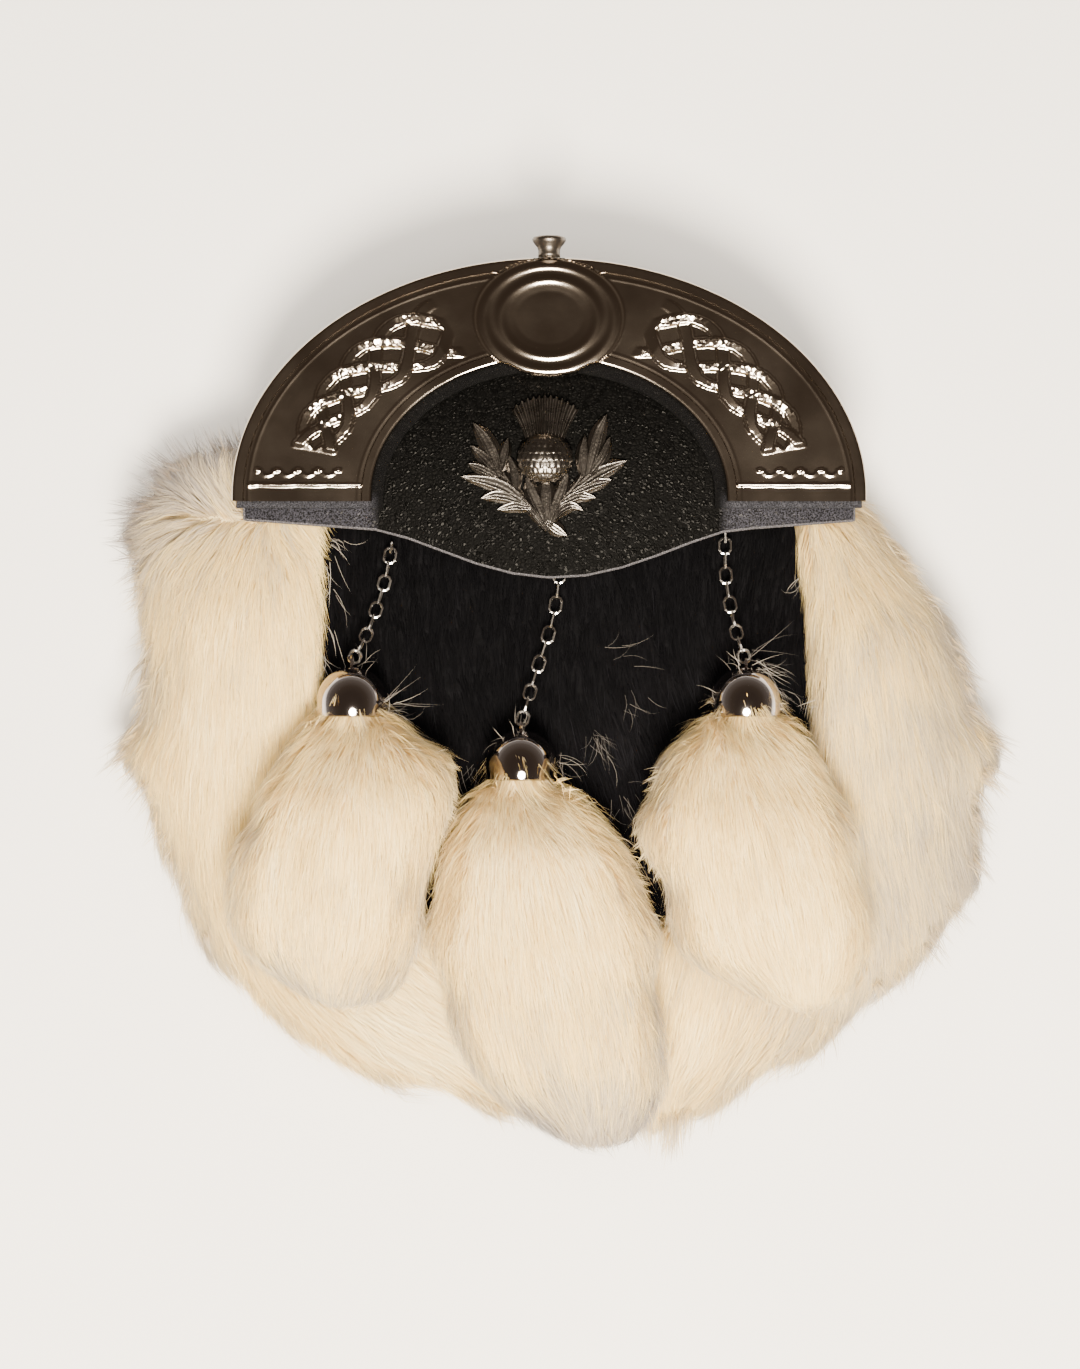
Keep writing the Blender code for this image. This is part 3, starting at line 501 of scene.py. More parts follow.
def mesh_arrays(mesh):
    """A triangle mesh as one array: a row to a triangle, with the places of its three corners."""
    mesh.calc_loop_triangles()
    corners = np.empty(len(mesh.loop_triangles) * 3, int)
    mesh.loop_triangles.foreach_get("vertices", corners)
    return places_of(mesh)[corners.reshape(-1, 3)]


def unit(vectors):
    """The vectors at a length of one."""
    return vectors / np.maximum(np.linalg.norm(vectors, axis=-1, keepdims=True), 1e-9)


def scatter(chance, mesh, count, keep):
    """Roots spread evenly by area over a mesh, where keep says there is hair."""
    corners = mesh_arrays(mesh)
    across = np.cross(corners[:, 1] - corners[:, 0], corners[:, 2] - corners[:, 0])
    area = np.linalg.norm(across, axis=1)
    normal = unit(across)
    share = area * keep(corners.mean(1), normal)
    chosen = chance.choice(len(share), count, p=share / share.sum())
    a, b = chance.random((2, count, 1))
    flip = (a + b > 1)
    a = np.where(flip, 1 - a, a)
    b = np.where(flip, 1 - b, b)
    face = corners[chosen]
    roots = face[:, 0] + a * (face[:, 1] - face[:, 0]) + b * (face[:, 2] - face[:, 0])
    return roots, normal[chosen]


def spread_guides(guides, places):
    """Blends the guides by distance: direction in plan, length and tint at each place."""
    table = np.array(guides, float)
    ways = table[:, 2:4] / np.linalg.norm(table[:, 2:4], axis=1, keepdims=True)
    gap = np.linalg.norm(places[:, None, :2] - table[None, :, :2], axis=2)
    weight = 1.0 / (gap ** 2 + (3 * MM) ** 2) ** 1.5
    weight /= weight.sum(1, keepdims=True)
    way = unit(weight @ ways)
    return way, weight @ table[:, 4], weight @ table[:, 5]


def comb(chance, mesh, roots, normals, guides, steps, lift):
    """Lays one guide hair from each root along the hide, following the guides' directions."""
    tree = BVHTree.FromPolygons([v.co[:] for v in mesh.vertices], [p.vertices[:] for p in mesh.polygons])
    way, length, tint = spread_guides(guides, roots)
    length = length * chance.uniform(0.85, 1.12, len(roots))
    point = roots.copy()
    normal = normals.copy()
    path = [point]
    for step in range(steps):
        way, _, _ = spread_guides(guides, point)
        flat = np.column_stack([way, np.zeros(len(way))])
        flat += chance.normal(0, 0.05, flat.shape)
        along = unit(flat - normal * (flat * normal).sum(1, keepdims=True))
        rise = np.radians(lift) * (1 - step / steps) ** 1.5
        heading = unit(along * math.cos(rise) + normal * math.sin(rise))
        point = point + heading * (length / steps)[:, None]
        near = [tree.find_nearest(Vector(p)) for p in point]
        under = np.array([n[0][:] for n in near])
        facing = np.array([n[1][:] for n in near])
        height = ((point - under) * facing).sum(1, keepdims=True)
        least = coat_depth * 0.15
        point = point + facing * np.maximum(least - height, 0)
        point[:, 2] = np.maximum(point[:, 2], 0.5 * MM)
        normal = unit(normal * 0.45 + facing * 0.55)
        path.append(point)
    return np.stack(path, 1), tint


def outline_of(places, middle, stations=180, rounds=4):
    """How far a shape reaches from its middle in each direction, in plan."""
    away = places[:, :2] - middle
    turn = np.arctan2(away[:, 1], away[:, 0])
    bins = ((turn + math.pi) / math.tau * stations).astype(int) % stations
    furthest = np.zeros(stations)
    np.maximum.at(furthest, bins, np.linalg.norm(away, axis=1))
    filled = np.where(furthest > 0)[0]
    furthest = np.interp(np.arange(stations), filled, furthest[filled], period=stations)
    furthest = np.maximum(np.maximum(np.roll(furthest, 1), furthest), np.roll(furthest, -1))
    for _ in range(rounds):
        furthest = (np.roll(furthest, 1) + furthest * 2 + np.roll(furthest, -1)) / 4
    return furthest


def reach_at(outline, turn):
    """An outline's reach in the directions asked for."""
    place = (turn + math.pi) / math.tau * len(outline) - 0.5
    return np.interp(place.ravel(), np.arange(len(outline)), outline, period=len(outline)).reshape(turn.shape)


def places_of(mesh):
    """The places of a mesh's corners, a row each."""
    places = np.empty(len(mesh.vertices) * 3)
    mesh.vertices.foreach_get("co", places)
    return places.reshape(-1, 3)


def fit_outline(mesh, middle, target, allowance):
    """Moves a hide's outer side so that it reaches the outline less an allowance; its inner side stays."""
    places = places_of(mesh)
    own = outline_of(places, middle)
    away = places[:, :2] - middle
    turn = np.arctan2(away[:, 1], away[:, 0])
    reach = np.linalg.norm(away, axis=1)
    edge = reach_at(own, turn)
    share = np.clip((reach / edge - 0.74) / 0.26, 0, 1) ** 1.5
    longer = (reach_at(target, turn) - allowance - edge) * share
    places[:, :2] += away / np.maximum(reach, 1e-6)[:, None] * longer[:, None]
    mesh.vertices.foreach_set("co", places.ravel())
    mesh.update()


def shortened(path, over, least):
    """Shortens each hair by the most that it reaches over, down to a least share of its length."""
    worst = np.maximum(over.max(1), 0)
    long = np.linalg.norm(path[:, -1] - path[:, 0], axis=1)
    keep = np.clip(1 - worst / np.maximum(long, 1e-6), least, 1)
    return path[:, :1] + (path - path[:, :1]) * keep[:, None, None]


def trim(path, outline, middle, margin):
    """Shortens each hair that reaches past the outline by more than its own margin."""
    away = path[..., :2] - middle
    edge = reach_at(outline, np.arctan2(away[..., 1], away[..., 0]))
    return shortened(path, np.linalg.norm(away, axis=2) - edge - margin[:, None], 0.25)


def keep_clear(path, opening, margin):
    """Shortens each hair that reaches into an opening, given as rows of y, left x and right x."""
    rows = np.array(opening)[::-1]
    left = np.interp(path[..., 1], rows[:, 0], rows[:, 1])
    right = np.interp(path[..., 1], rows[:, 0], rows[:, 2])
    over = np.minimum(path[..., 0] - left, right - path[..., 0])
    inside = (path[..., 1] > rows[0, 0]) & (path[..., 1] < rows[-1, 0])
    return shortened(path, np.where(inside, over, 0) - margin[:, None], 0.2)


def ribbons(name, path, side, width, tint, material):
    """One mesh of tapered ribbons, a ribbon to a hair, with the hair's tint and way along it in its map."""
    count, stops = path.shape[:2]
    taper = np.linspace(1, 0, stops) ** 0.7
    half = (width[:, None] * taper[None, :] / 2)[..., None]
    left = path + side[:, None, :] * half
    right = path - side[:, None, :] * half
    body = np.stack([left[:, :-1], right[:, :-1]], 2).reshape(count, -1, 3)
    places = np.concatenate([body, path[:, -1:]], 1)
    each = places.shape[1]
    faces = []
    way = []
    for s in range(stops - 2):
        faces += [2 * s, 2 * s + 1, 2 * s + 3, 2 * s + 2]
        way += [s, s, s + 1, s + 1]
    faces += [each - 3, each - 2, each - 1]
    way += [stops - 2, stops - 2, stops - 1]
    sizes = [4] * (stops - 2) + [3]
    starts = np.concatenate([[0], np.cumsum(sizes)[:-1]])
    per_hair = len(faces)
    mesh = bpy.data.meshes.new(name)
    mesh.vertices.add(count * each)
    mesh.vertices.foreach_set("co", places.astype(np.float32).ravel())
    mesh.loops.add(count * per_hair)
    corner = (np.arange(count)[:, None] * each + np.array(faces)[None, :]).ravel()
    mesh.loops.foreach_set("vertex_index", corner.astype(np.int32))
    mesh.polygons.add(count * len(sizes))
    begin = (np.arange(count)[:, None] * per_hair + starts[None, :]).ravel()
    mesh.polygons.foreach_set("loop_start", begin.astype(np.int32))
    mesh.polygons.foreach_set("use_smooth", np.ones(len(begin), bool))
    mesh.update(calc_edges=True)
    layer = mesh.uv_layers.new(name="OFBake")
    uv = np.stack([np.repeat(tint, per_hair), np.tile(np.array(way) / (stops - 1), count)], 1)
    layer.data.foreach_set("uv", np.clip(uv, 0.002, 0.998).astype(np.float32).ravel())
    return put(name, mesh, material)


def coat(name, seed, mesh, keep, count, guides, locks, edges, material, clump=0.12, frizz=0.06, lift=26,
         width=hair_width, pieces=1, wisps=0.06, rim=0.38, opening=None):
    """Covers a hide with hair: guide hairs are combed first, then each hair follows the nearest guide."""
    chance = np.random.default_rng(seed)
    # Each lock is one guide hair, with its own shade; some are wisps, whose hairs don't gather.
    lock_roots, lock_normals = scatter(chance, mesh, locks, keep)
    lock_path, lock_tint = comb(chance, mesh, lock_roots, lock_normals, guides, guide_steps, lift)
    x, y = lock_roots[:, 0] / MM, lock_roots[:, 1] / MM
    patches = np.sin(x / 4.3 + 2.1 * np.sin(y / 11)) * np.sin(y / 9.5 + 1.7 * np.sin(x / 7))
    lock_shade = lock_tint + 0.07 * patches + chance.normal(0, 0.065, locks)
    loose = chance.random(locks) < wisps
    finder = KDTree(locks)
    for i, place in enumerate(lock_roots):
        finder.insert(Vector(place), i)
    finder.balance()
    # Each hair follows the nearest lock's guide for its own length, and draws towards it at its tip.
    roots, normals = scatter(chance, mesh, count, keep)
    mine = np.array([finder.find(Vector(r))[1] for r in roots])
    length = np.clip(chance.normal(0.82, 0.2, count), 0.3, 1.25)
    at = np.linspace(0, 1, hair_segments + 1)[None, :] * length[:, None] * guide_steps
    below = np.clip(at.astype(int), 0, guide_steps - 1)
    part = (at - below)[..., None]
    rows = np.arange(count)[:, None]
    guide = lock_path[mine]
    curve = guide[rows, below] * (1 - part) + guide[rows, below + 1] * part
    way = np.linspace(0, 1, hair_segments + 1)[None, :, None]
    spread = (roots - guide[:, 0])[:, None, :]
    gather = np.where(loose[mine], 0.85, clump)[:, None, None]
    path = curve + spread * (1 - gather * way ** 1.6)
    # Frizz bends every hair a little and one in fifty a lot; wisps are longer, and some hairs arch up.
    stray = chance.normal(0, 1, (count, 3))
    reach = np.linalg.norm(path[:, -1] - path[:, 0], axis=1)[:, None, None]
    wild = np.where(chance.random(count) < 0.02, 4.0, 1.0)[:, None, None]
    path += stray[:, None, :] * reach * frizz * wild * way ** 1.5
    path = path[:, :1] + (path - path[:, :1]) * np.where(loose[mine], 1.45, 1.0)[:, None, None]
    high = chance.uniform(0, 1, count)[:, None, None] ** 2
    path += normals[:, None, :] * coat_depth * 0.45 * high * np.sin(way * 2.2)
    # Hairs end near the outline and outside the opening.
    for outline, middle in edges:
        margin = chance.exponential(0.9 * MM, count) - 0.4 * MM + (wild[:, 0, 0] - 1) * 0.7 * MM
        margin = margin + np.where(loose[mine], chance.exponential(1.6 * MM, count), 0.0)
        path = trim(path, outline, middle, margin)
    if opening:
        path = keep_clear(path, opening, chance.exponential(0.5 * MM, count))
    path[..., 2] = np.maximum(path[..., 2], lowest_hair)
    along = unit(path[:, -1] - path[:, 0])
    side = unit(np.cross(along, normals + chance.normal(0, 0.22, (count, 3))))
    # A hair's tint is its lock's, a little off, and greyer towards the outline, which is painted shade where
    # the coat turns away from the light.
    tint = lock_shade[mine] + chance.normal(0, 0.09, count)
    for outline, middle in edges:
        away = roots[:, :2] - middle
        gap = reach_at(outline, np.arctan2(away[:, 1], away[:, 0])) - np.linalg.norm(away, axis=1)
        tint = tint - rim * np.clip(1 - gap / (10 * MM), 0, 1) ** 1.5
    wide = width * chance.uniform(0.6, 1.15, count)
    made = []
    for number, chosen in enumerate(np.array_split(np.arange(count), pieces)):
        label = name if pieces == 1 else f"{name}_{number + 1}"
        made.append(ribbons(label, path[chosen], side[chosen], wide[chosen], tint[chosen], material))
    return made


def guide_rows(rows, height, share=1.0):
    """Guides set on the photograph: pixel across and down, way across and down, length in mm, tint."""
    made = []
    for across, down, right, below, length, tint in rows:
        x, y = seen(across, down, height)
        made.append((x, y, right, -below, length * share * MM, tint))
    return made


# The tints are partly the fur's own tone and partly painted shade: low at the top-left corner and along the
# outer edges, where the coat turns away from the light.
surround_guides = guide_rows([
    (150, 470, -0.80, -0.60, 26, -0.45), (190, 455, -0.40, -0.90, 24, -0.45),
    (232, 460, 0.05, -1.00, 18, -0.3), (205, 492, -0.55, -0.60, 24, 0.10),
    (240, 500, -0.30, -0.70, 20, 0.30), (125, 520, -1.00, 0.15, 24, -0.30),
    (165, 520, -0.90, 0.15, 24, 0.30), (190, 550, -0.50, 0.80, 22, 0.55),
    (240, 545, -0.15, 1.00, 22, 0.70), (130, 600, -0.30, 1.00, 20, 0.45),
    (180, 600, -0.05, 1.00, 24, 0.66), (235, 600, 0.00, 1.00, 24, 0.74), (308, 538, 0.60, 0.80, 18, 0.74),
    (300, 600, 0.05, 1.00, 22, 0.74), (312, 680, 0.02, 1.00, 20, 0.70), (140, 690, -0.12, 1.00, 24, 0.50),
    (210, 690, 0.00, 1.00, 26, 0.78), (270, 720, 0.02, 1.00, 24, 0.76), (125, 755, -0.50, 0.85, 16, 0.42),
    (170, 780, -0.10, 1.00, 26, 0.66), (230, 790, 0.05, 1.00, 26, 0.70), (160, 850, 0.15, 1.00, 26, 0.50),
    (215, 890, 0.15, 1.00, 26, 0.58), (195, 950, 0.45, 0.90, 26, 0.50), (250, 980, 0.45, 0.90, 26, 0.76),
    (290, 1035, 0.65, 0.75, 26, 0.72), (350, 1000, 0.90, 0.42, 28, 1.05),
    (400, 1050, 0.92, 0.42, 28, 1.00), (370, 1075, 0.85, 0.50, 26, 0.60),
    (450, 1100, 0.85, 0.55, 26, 0.60), (540, 1125, 0.80, 0.60, 24, 0.55),
    (620, 1125, 0.60, 0.80, 24, 0.56), (655, 1100, 0.25, 1.00, 24, 0.60),
    (672, 1135, -0.25, 1.00, 22, 0.52), (700, 1090, -0.65, 0.80, 24, 0.58),
    (760, 1060, -0.60, 0.80, 24, 0.54), (700, 1010, -0.25, 1.00, 24, 0.74),
    (800, 1020, -0.35, 0.95, 24, 0.48), (850, 990, 0.10, 1.00, 24, 0.44),
    (900, 930, 0.25, 1.00, 26, 0.42), (945, 900, 0.45, 0.90, 20, 0.38), (930, 830, 0.12, 1.00, 26, 0.40),
    (970, 840, 0.35, 0.95, 22, 0.30), (870, 760, 0.05, 1.00, 26, 0.52), (940, 740, 0.20, 1.00, 26, 0.42),
    (992, 745, 0.70, 0.75, 16, 0.34), (860, 650, 0.05, 1.00, 26, 0.54), (920, 650, 0.15, 1.00, 26, 0.44),
    (960, 660, 0.45, 0.90, 20, 0.32), (830, 570, 0.10, 1.00, 24, 0.66), (880, 570, 0.25, 1.00, 24, 0.56),
    (915, 570, 0.50, 0.85, 20, 0.44), (870, 515, 0.45, 0.80, 20, 0.58), (895, 500, 0.70, 0.20, 14, 0.44),
], surround_level, share=0.58)


def tassel_guides(cap, foot, spread, tint, fade):
    """Hair fans out from under the cap, runs down the tassel and gathers at its foot."""
    x, y = cap
    run = foot[1] - y
    rows = []
    for share, wide, turn in ((0.0, 0.5, 0.6), (0.12, 1.0, 0.6), (0.35, 1.0, 0.2), (0.65, 0.9, -0.05),
                              (0.95, 0.5, -0.5)):
        for side in (-1, -0.5, 0, 0.5, 1):
            lean = (foot[0] - x) / -run
            across = side * turn * 0.7 + lean
            px = x + (foot[0] - x) * share + side * wide * spread
            length = (13 - 3 * abs(side)) * MM
            # Painted light and shade in the tint: lighter just under the cap, against the cap's shade there,
            # and darker towards the tassel's sides; it also grows darker by fade towards the foot.
            shade = tint + 0.25 * max(0, 0.3 - share) - 0.04 * abs(side) - fade * max(0, share - 0.5)
            rows.append((px, y + run * share, across, -1.0, length, shade))
    return rows


def hair_everywhere(places, normals):
    """Hair on all of a tassel."""
    return np.ones(len(places))


def surround_hair(places, normals):
    """Hair on the surround's top and outer side, thin underneath, and none inside the hollow."""
    middle = np.array([0.0, -45.0 * MM])
    out = unit(places[:, :2] - middle)
    outward = (normals[:, :2] * out).sum(1)
    inner = (outward < -0.35) & (normals[:, 2] < 0.5)
    low = (normals[:, 2] < -0.3)
    return np.where(inner & (places[:, 2] < 30 * MM), 0.05, np.where(low, 0.15, 1.0))


def open_right(mesh, start, run, most, outwards):
    """Moves the right limb's inner side, or the black hide under it, outwards halfway down the pouch."""
    places = places_of(mesh)
    down = np.interp(-places[:, 1], np.array([4, 25, 50, 62, 80]) * MM, [0.0, 0.75, 1.0, 0.8, 0.0])
    share = np.clip((places[:, 0] - start) / run, 0, 1)
    share = share if outwards else np.where(places[:, 0] > 30 * MM, 1 - share, 0)
    places[:, 0] += most * down * share
    mesh.vertices.foreach_set("co", places.ravel())
    mesh.update()


def stand_out(outline, middle, rows):
    """Moves an outline near some pixels: each row is a pixel, how much further out, and how wide, in mm."""
    turn = (np.arange(len(outline)) + 0.5) / len(outline) * math.tau - math.pi
    for across, down, further, wide in rows:
        away = np.array(seen(across, down, outline_level)) - middle
        aside = (turn - math.atan2(away[1], away[0]) + math.pi) % math.tau - math.pi
        outline = outline + further * MM * np.exp(-(aside * np.linalg.norm(away) / (wide * MM)) ** 2)
    return outline


surround_mesh = skin_of("fur_surround", voxel=2.2 * MM, rounds=18, drawn_in=coat_depth * 0.5)
open_right(surround_mesh, start=56 * MM, run=24 * MM, most=5.5 * MM, outwards=False)
surround_middle = np.array([-2.0 * MM, -48.0 * MM])
surround_edge = outline_of(places_of(nodes["fur_surround"].data), surround_middle) - 2.0 * MM
surround_edge = stand_out(surround_edge, surround_middle, [
    (1003, 748, 4.0, 6), (978, 890, 3.5, 16), (690, 1125, 2.0, 10), (668, 1150, 2.5, 4),
    (112, 758, 4.0, 6), (112, 525, 2.5, 8), (128, 640, -2.0, 18), (150, 850, -2.6, 11),
    (280, 1045, -1.5, 7), (925, 940, 1.5, 6), (430, 1105, -3.2, 14), (540, 1135, -1.0, 12),
    (985, 695, -2.0, 8), (890, 1000, -1.6, 8), (785, 1080, -1.2, 9),
])
fit_outline(surround_mesh, surround_middle, surround_edge, allowance=2.2 * MM)
surround_skin = put("fur_surround_hide", surround_mesh, white_hide_painted_shade)
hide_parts("fur_surround")
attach(surround_skin, "root")
# The black hide shows between these pixels of the photograph: down, left edge, right edge.
front_opening = []
for down, left, right in ((518, 333, 794), (545, 331, 800), (600, 327, 808), (650, 324, 812), (700, 320, 815),
                          (790, 320, 815)):
    left_x, y = seen(left, down, opening_level)
    right_x, y = seen(right, down, opening_level)
    front_opening.append((y, left_x, right_x))
for piece in coat("fur_surround_hair", 11, surround_mesh, surround_hair, surround_hairs, surround_guides,
                  surround_locks, [(surround_edge, surround_middle)], white_hair, pieces=4,
                  opening=front_opening):
    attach(piece, "root")

# The tassels: where each one's foot is, how wide it is, and its tint under the cap and how that fades below
tassel_feet = {"left": (-52 * MM, -118 * MM), "middle": (10 * MM, -152 * MM), "right": (60 * MM, -116 * MM)}
tassel_spread = {"left": 21 * MM, "middle": 22 * MM, "right": 21 * MM}
tassel_tint = {"left": 0.80, "middle": 0.82, "right": 0.76}
tassel_fade = {"left": 0.5, "middle": 1.1, "right": 0.0}
tassel_edges = {}
for number, side in enumerate(("left", "middle", "right")):
    tassel_mesh = skin_of(f"tassel_{side}", voxel=1.5 * MM, rounds=8, drawn_in=coat_depth * 0.5)
    low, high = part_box(f"tassel_{side}")
    tassel_middle = np.array([(low.x + high.x) / 2, (low.y + high.y) / 2])
    tassel_edge = outline_of(places_of(nodes[f"tassel_{side}"].data), tassel_middle, stations=90, rounds=12)
    tassel_edge = tassel_edge - 0.6 * MM
    fit_outline(tassel_mesh, tassel_middle, tassel_edge, allowance=1.4 * MM)
    tassel_skin = put(f"tassel_{side}_head", tassel_mesh, white_hide_painted_shade)
    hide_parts(f"tassel_{side}")
    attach(tassel_skin, "root")
    guides = tassel_guides(cap_places[side], tassel_feet[side], tassel_spread[side], tassel_tint[side],
                           tassel_fade[side])
    tassel_edges[side] = (tassel_edge, tassel_middle, guides)
    for piece in coat(f"tassel_{side}_hair", 21 + number, tassel_mesh, hair_everywhere, tassel_hairs, guides,
                      tassel_locks, [(tassel_edge, tassel_middle)], white_hair, lift=22,
                      wisps=0.02):
        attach(piece, "root")

# The front's black hide, with short glossy hair that runs down


def panel_hair(places, normals):
    """Hair on the panel's front face only."""
    return (normals[:, 2] > 0.5).astype(float)


panel_mesh = with_modifier(finish_mesh(cad_copy("front_panel"), "panel_start"), "REMESH",
                           {"mode": "VOXEL", "voxel_size": 1.6 * MM})
panel_shape = bmesh.new()
panel_shape.from_mesh(panel_mesh)
bmesh.ops.triangulate(panel_shape, faces=panel_shape.faces)
panel_mesh = finish_mesh(panel_shape, "front_panel_hide")
open_right(panel_mesh, start=44 * MM, run=15 * MM, most=5.0 * MM, outwards=True)
panel_skin = put("front_panel_hide", panel_mesh, black_hide)
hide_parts("front_panel")
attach(panel_skin, "root")
panel_guides = guide_rows([
    (370, 560, 0.05, 1.0, 8, 0.4), (520, 640, 0.0, 1.0, 8, 0.5), (640, 640, 0.1, 1.0, 8, 0.6),
    (780, 600, -0.1, 1.0, 8, 0.4), (450, 720, 0.2, 1.0, 9, 0.5), (620, 760, 0.3, 1.0, 9, 0.8),
    (560, 900, 0.1, 1.0, 9, 0.5), (350, 640, 0.1, 1.0, 8, 0.4), (700, 700, 0.25, 1.0, 9, 0.7),
], panel_level)
for piece in coat("front_panel_hair", 31, panel_mesh, panel_hair, panel_hairs, panel_guides, panel_locks, [],
                  black_hair, lift=16, width=panel_hair_width, clump=0.6, frizz=0.06, rim=0.0):
    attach(piece, "root")


# Stray hairs that lie over the metal and the black hide


def strays(name, seed, rows, height, material, shade=(0.0, 1.0), wave=(0.45, 0.9), thick=stray_width):
    """Tufts of single hairs: pixel of the foot, way, length in mm, how many and how far their feet spread.

    Shade is the range of their tints; wave says how far they turn off their way and how much they curl.
    """
    chance = np.random.default_rng(seed)
    paths = []
    for across, down, right, below, length, many, spread in rows:
        x, y = seen(across, down, height)
        way = unit(np.array([right, -below]))
        for _ in range(many):
            turn = chance.normal(0, wave[0])
            curl = chance.normal(0, wave[1])
            long = length * MM * chance.uniform(0.5, 1.15)
            point = np.array([x, y]) + chance.normal(0, spread * MM / 2, 2)
            level = height + chance.uniform(0.2, 1.2) * MM
            path = [(*point, level)]
            for step in range(4):
                angle = turn + curl * step / 4
                heading = np.array([way[0] * math.cos(angle) - way[1] * math.sin(angle),
                                    way[0] * math.sin(angle) + way[1] * math.cos(angle)])
                point = point + heading * long / 4
                path.append((*point, level + 0.9 * MM * math.sin((step + 1) * 0.7)))
            paths.append(path)
    path = np.array(paths)
    along = unit(path[:, -1] - path[:, 0])
    side = unit(np.cross(along, np.array([0.0, 0.0, 1.0])))
    width = thick * chance.uniform(0.7, 1.3, len(path))
    return ribbons(name, path, side, width, chance.uniform(*shade, len(path)), material)


def fringe(name, seed, outline, middle, guides, rows, count, low, high, tuft=4):
    """Small pointed tufts that stand out past an outline; rows give a pixel, how many and how far, in mm."""
    chance = np.random.default_rng(seed)
    # Feet on the outline, more of them near the rows that ask for more, and in uneven patches.
    places = np.array([seen(across, down, low) for across, down, _, _ in rows])
    want = np.array([row[2] for row in rows], float)
    far = np.array([row[3] for row in rows], float) * MM
    turn = chance.uniform(-math.pi, math.pi, count * 6)
    reach = reach_at(outline, turn)
    out = np.column_stack([np.cos(turn), np.sin(turn)])
    spots = middle + out * reach[:, None]
    gap = np.linalg.norm(spots[:, None] - places[None], axis=2)
    near = 1 / (gap + 4 * MM) ** 3
    near /= near.sum(1, keepdims=True)
    patch = 0.6 + 0.4 * np.sin(turn * 41) * np.sin(turn * 23 + 1)
    odds = (near @ want) * patch
    tufts = count // tuft
    chosen = chance.choice(len(spots), tufts, replace=False, p=odds / odds.sum())
    spots, out, long = spots[chosen], out[chosen], (near @ far)[chosen] * chance.uniform(0.5, 1.3, tufts)
    # Each tuft's spine leans between the fur's own way and straight out; its hairs meet at the tip.
    way, _, shade = spread_guides(guides, spots)
    lean = unit(way * 0.8 + out * chance.uniform(0.1, 1.1, (tufts, 1)) + chance.normal(0, 0.2, (tufts, 2)))
    level = chance.uniform(low, high, tufts)
    spine = [np.column_stack([spots - out * 3.5 * MM, level])]
    for step in range(3):
        bend = lean + way * 0.15 * step
        move = np.column_stack([unit(bend), np.full(tufts, -0.12)])
        spine.append(spine[-1] + move * ((long + 3.0 * MM) / 3)[:, None])
    spine = np.repeat(np.stack(spine, 1), tuft, axis=0)
    count = len(spine)
    foot = chance.normal(0, 0.8 * MM, (count, 1, 3))
    path = spine + foot * (1 - 0.85 * np.linspace(0, 1, 4))[None, :, None]
    path = path[:, :1] + (path - path[:, :1]) * chance.uniform(0.6, 1.1, (count, 1, 1))
    path[..., 2] = np.maximum(path[..., 2], 0.5 * MM)
    side = unit(np.cross(unit(path[:, -1] - path[:, 0]), np.array([0.0, 0.0, 1.0])))
    width = fringe_width * chance.uniform(0.6, 1.2, count)
    # Tufts are darker than the coat under them: painted shade, like the coat's greyer edge.
    tint = np.repeat(shade, tuft) * 0.62 + chance.normal(0, 0.12, count)
    return ribbons(name, path, side, width, tint, white_hair)


fur_fringe = fringe("fur_fringe", 51, surround_edge, surround_middle, surround_guides, [
    (150, 445, 8, 6.5), (200, 436, 7, 5.5), (115, 510, 8, 6.5), (125, 560, 3, 4), (133, 640, 2, 3),
    (130, 700, 2.5, 3.5), (112, 755, 6, 6), (135, 800, 3, 5), (160, 870, 1.5, 3), (200, 960, 1.5, 3),
    (300, 1050, 1.5, 3), (420, 1105, 2, 3.5), (560, 1140, 2, 3), (668, 1150, 7, 9), (720, 1115, 3, 5),
    (800, 1065, 2, 4), (880, 1005, 2, 4), (950, 945, 3, 5), (982, 880, 3, 5), (1000, 745, 5, 6),
    (990, 700, 3, 5), (965, 640, 3, 5), (935, 570, 2, 4), (900, 520, 1.5, 3),
], count=4200, low=14 * MM, high=30 * MM)
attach(fur_fringe, "root")
tassel_fringe_rows = {
    "left": [(440, 740, 4, 3), (462, 800, 3, 2.5), (450, 880, 2, 2), (300, 970, 2, 2.5), (230, 880, 1.5, 1.5),
             (320, 720, 0.2, 1), (400, 712, 0.2, 1)],
    "middle": [(500, 790, 0.5, 1), (580, 790, 2, 2), (640, 860, 5, 3.5), (665, 950, 4, 3),
               (665, 1050, 3, 3), (600, 1140, 3, 2.5), (640, 1130, 3, 4), (428, 893, 5, 3), (430, 960, 1, 1),
               (470, 1060, 1, 1.5)],
    "right": [(690, 740, 0.5, 1.5), (650, 780, 4, 4), (640, 830, 4, 3), (658, 900, 6, 3.5),
              (780, 990, 1.5, 2), (850, 1000, 3, 3), (870, 940, 3, 3), (865, 860, 1.5, 1.5),
              (840, 760, 0.5, 1), (800, 725, 0.3, 1)],
}
for number, (side, rows) in enumerate(tassel_fringe_rows.items()):
    edge, middle, guides = tassel_edges[side]
    tufts = fringe(f"tassel_{side}_fringe", 61 + number, edge, middle, guides, rows, count=1200,
                   low=43 * MM, high=54 * MM)
    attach(tufts, "root")
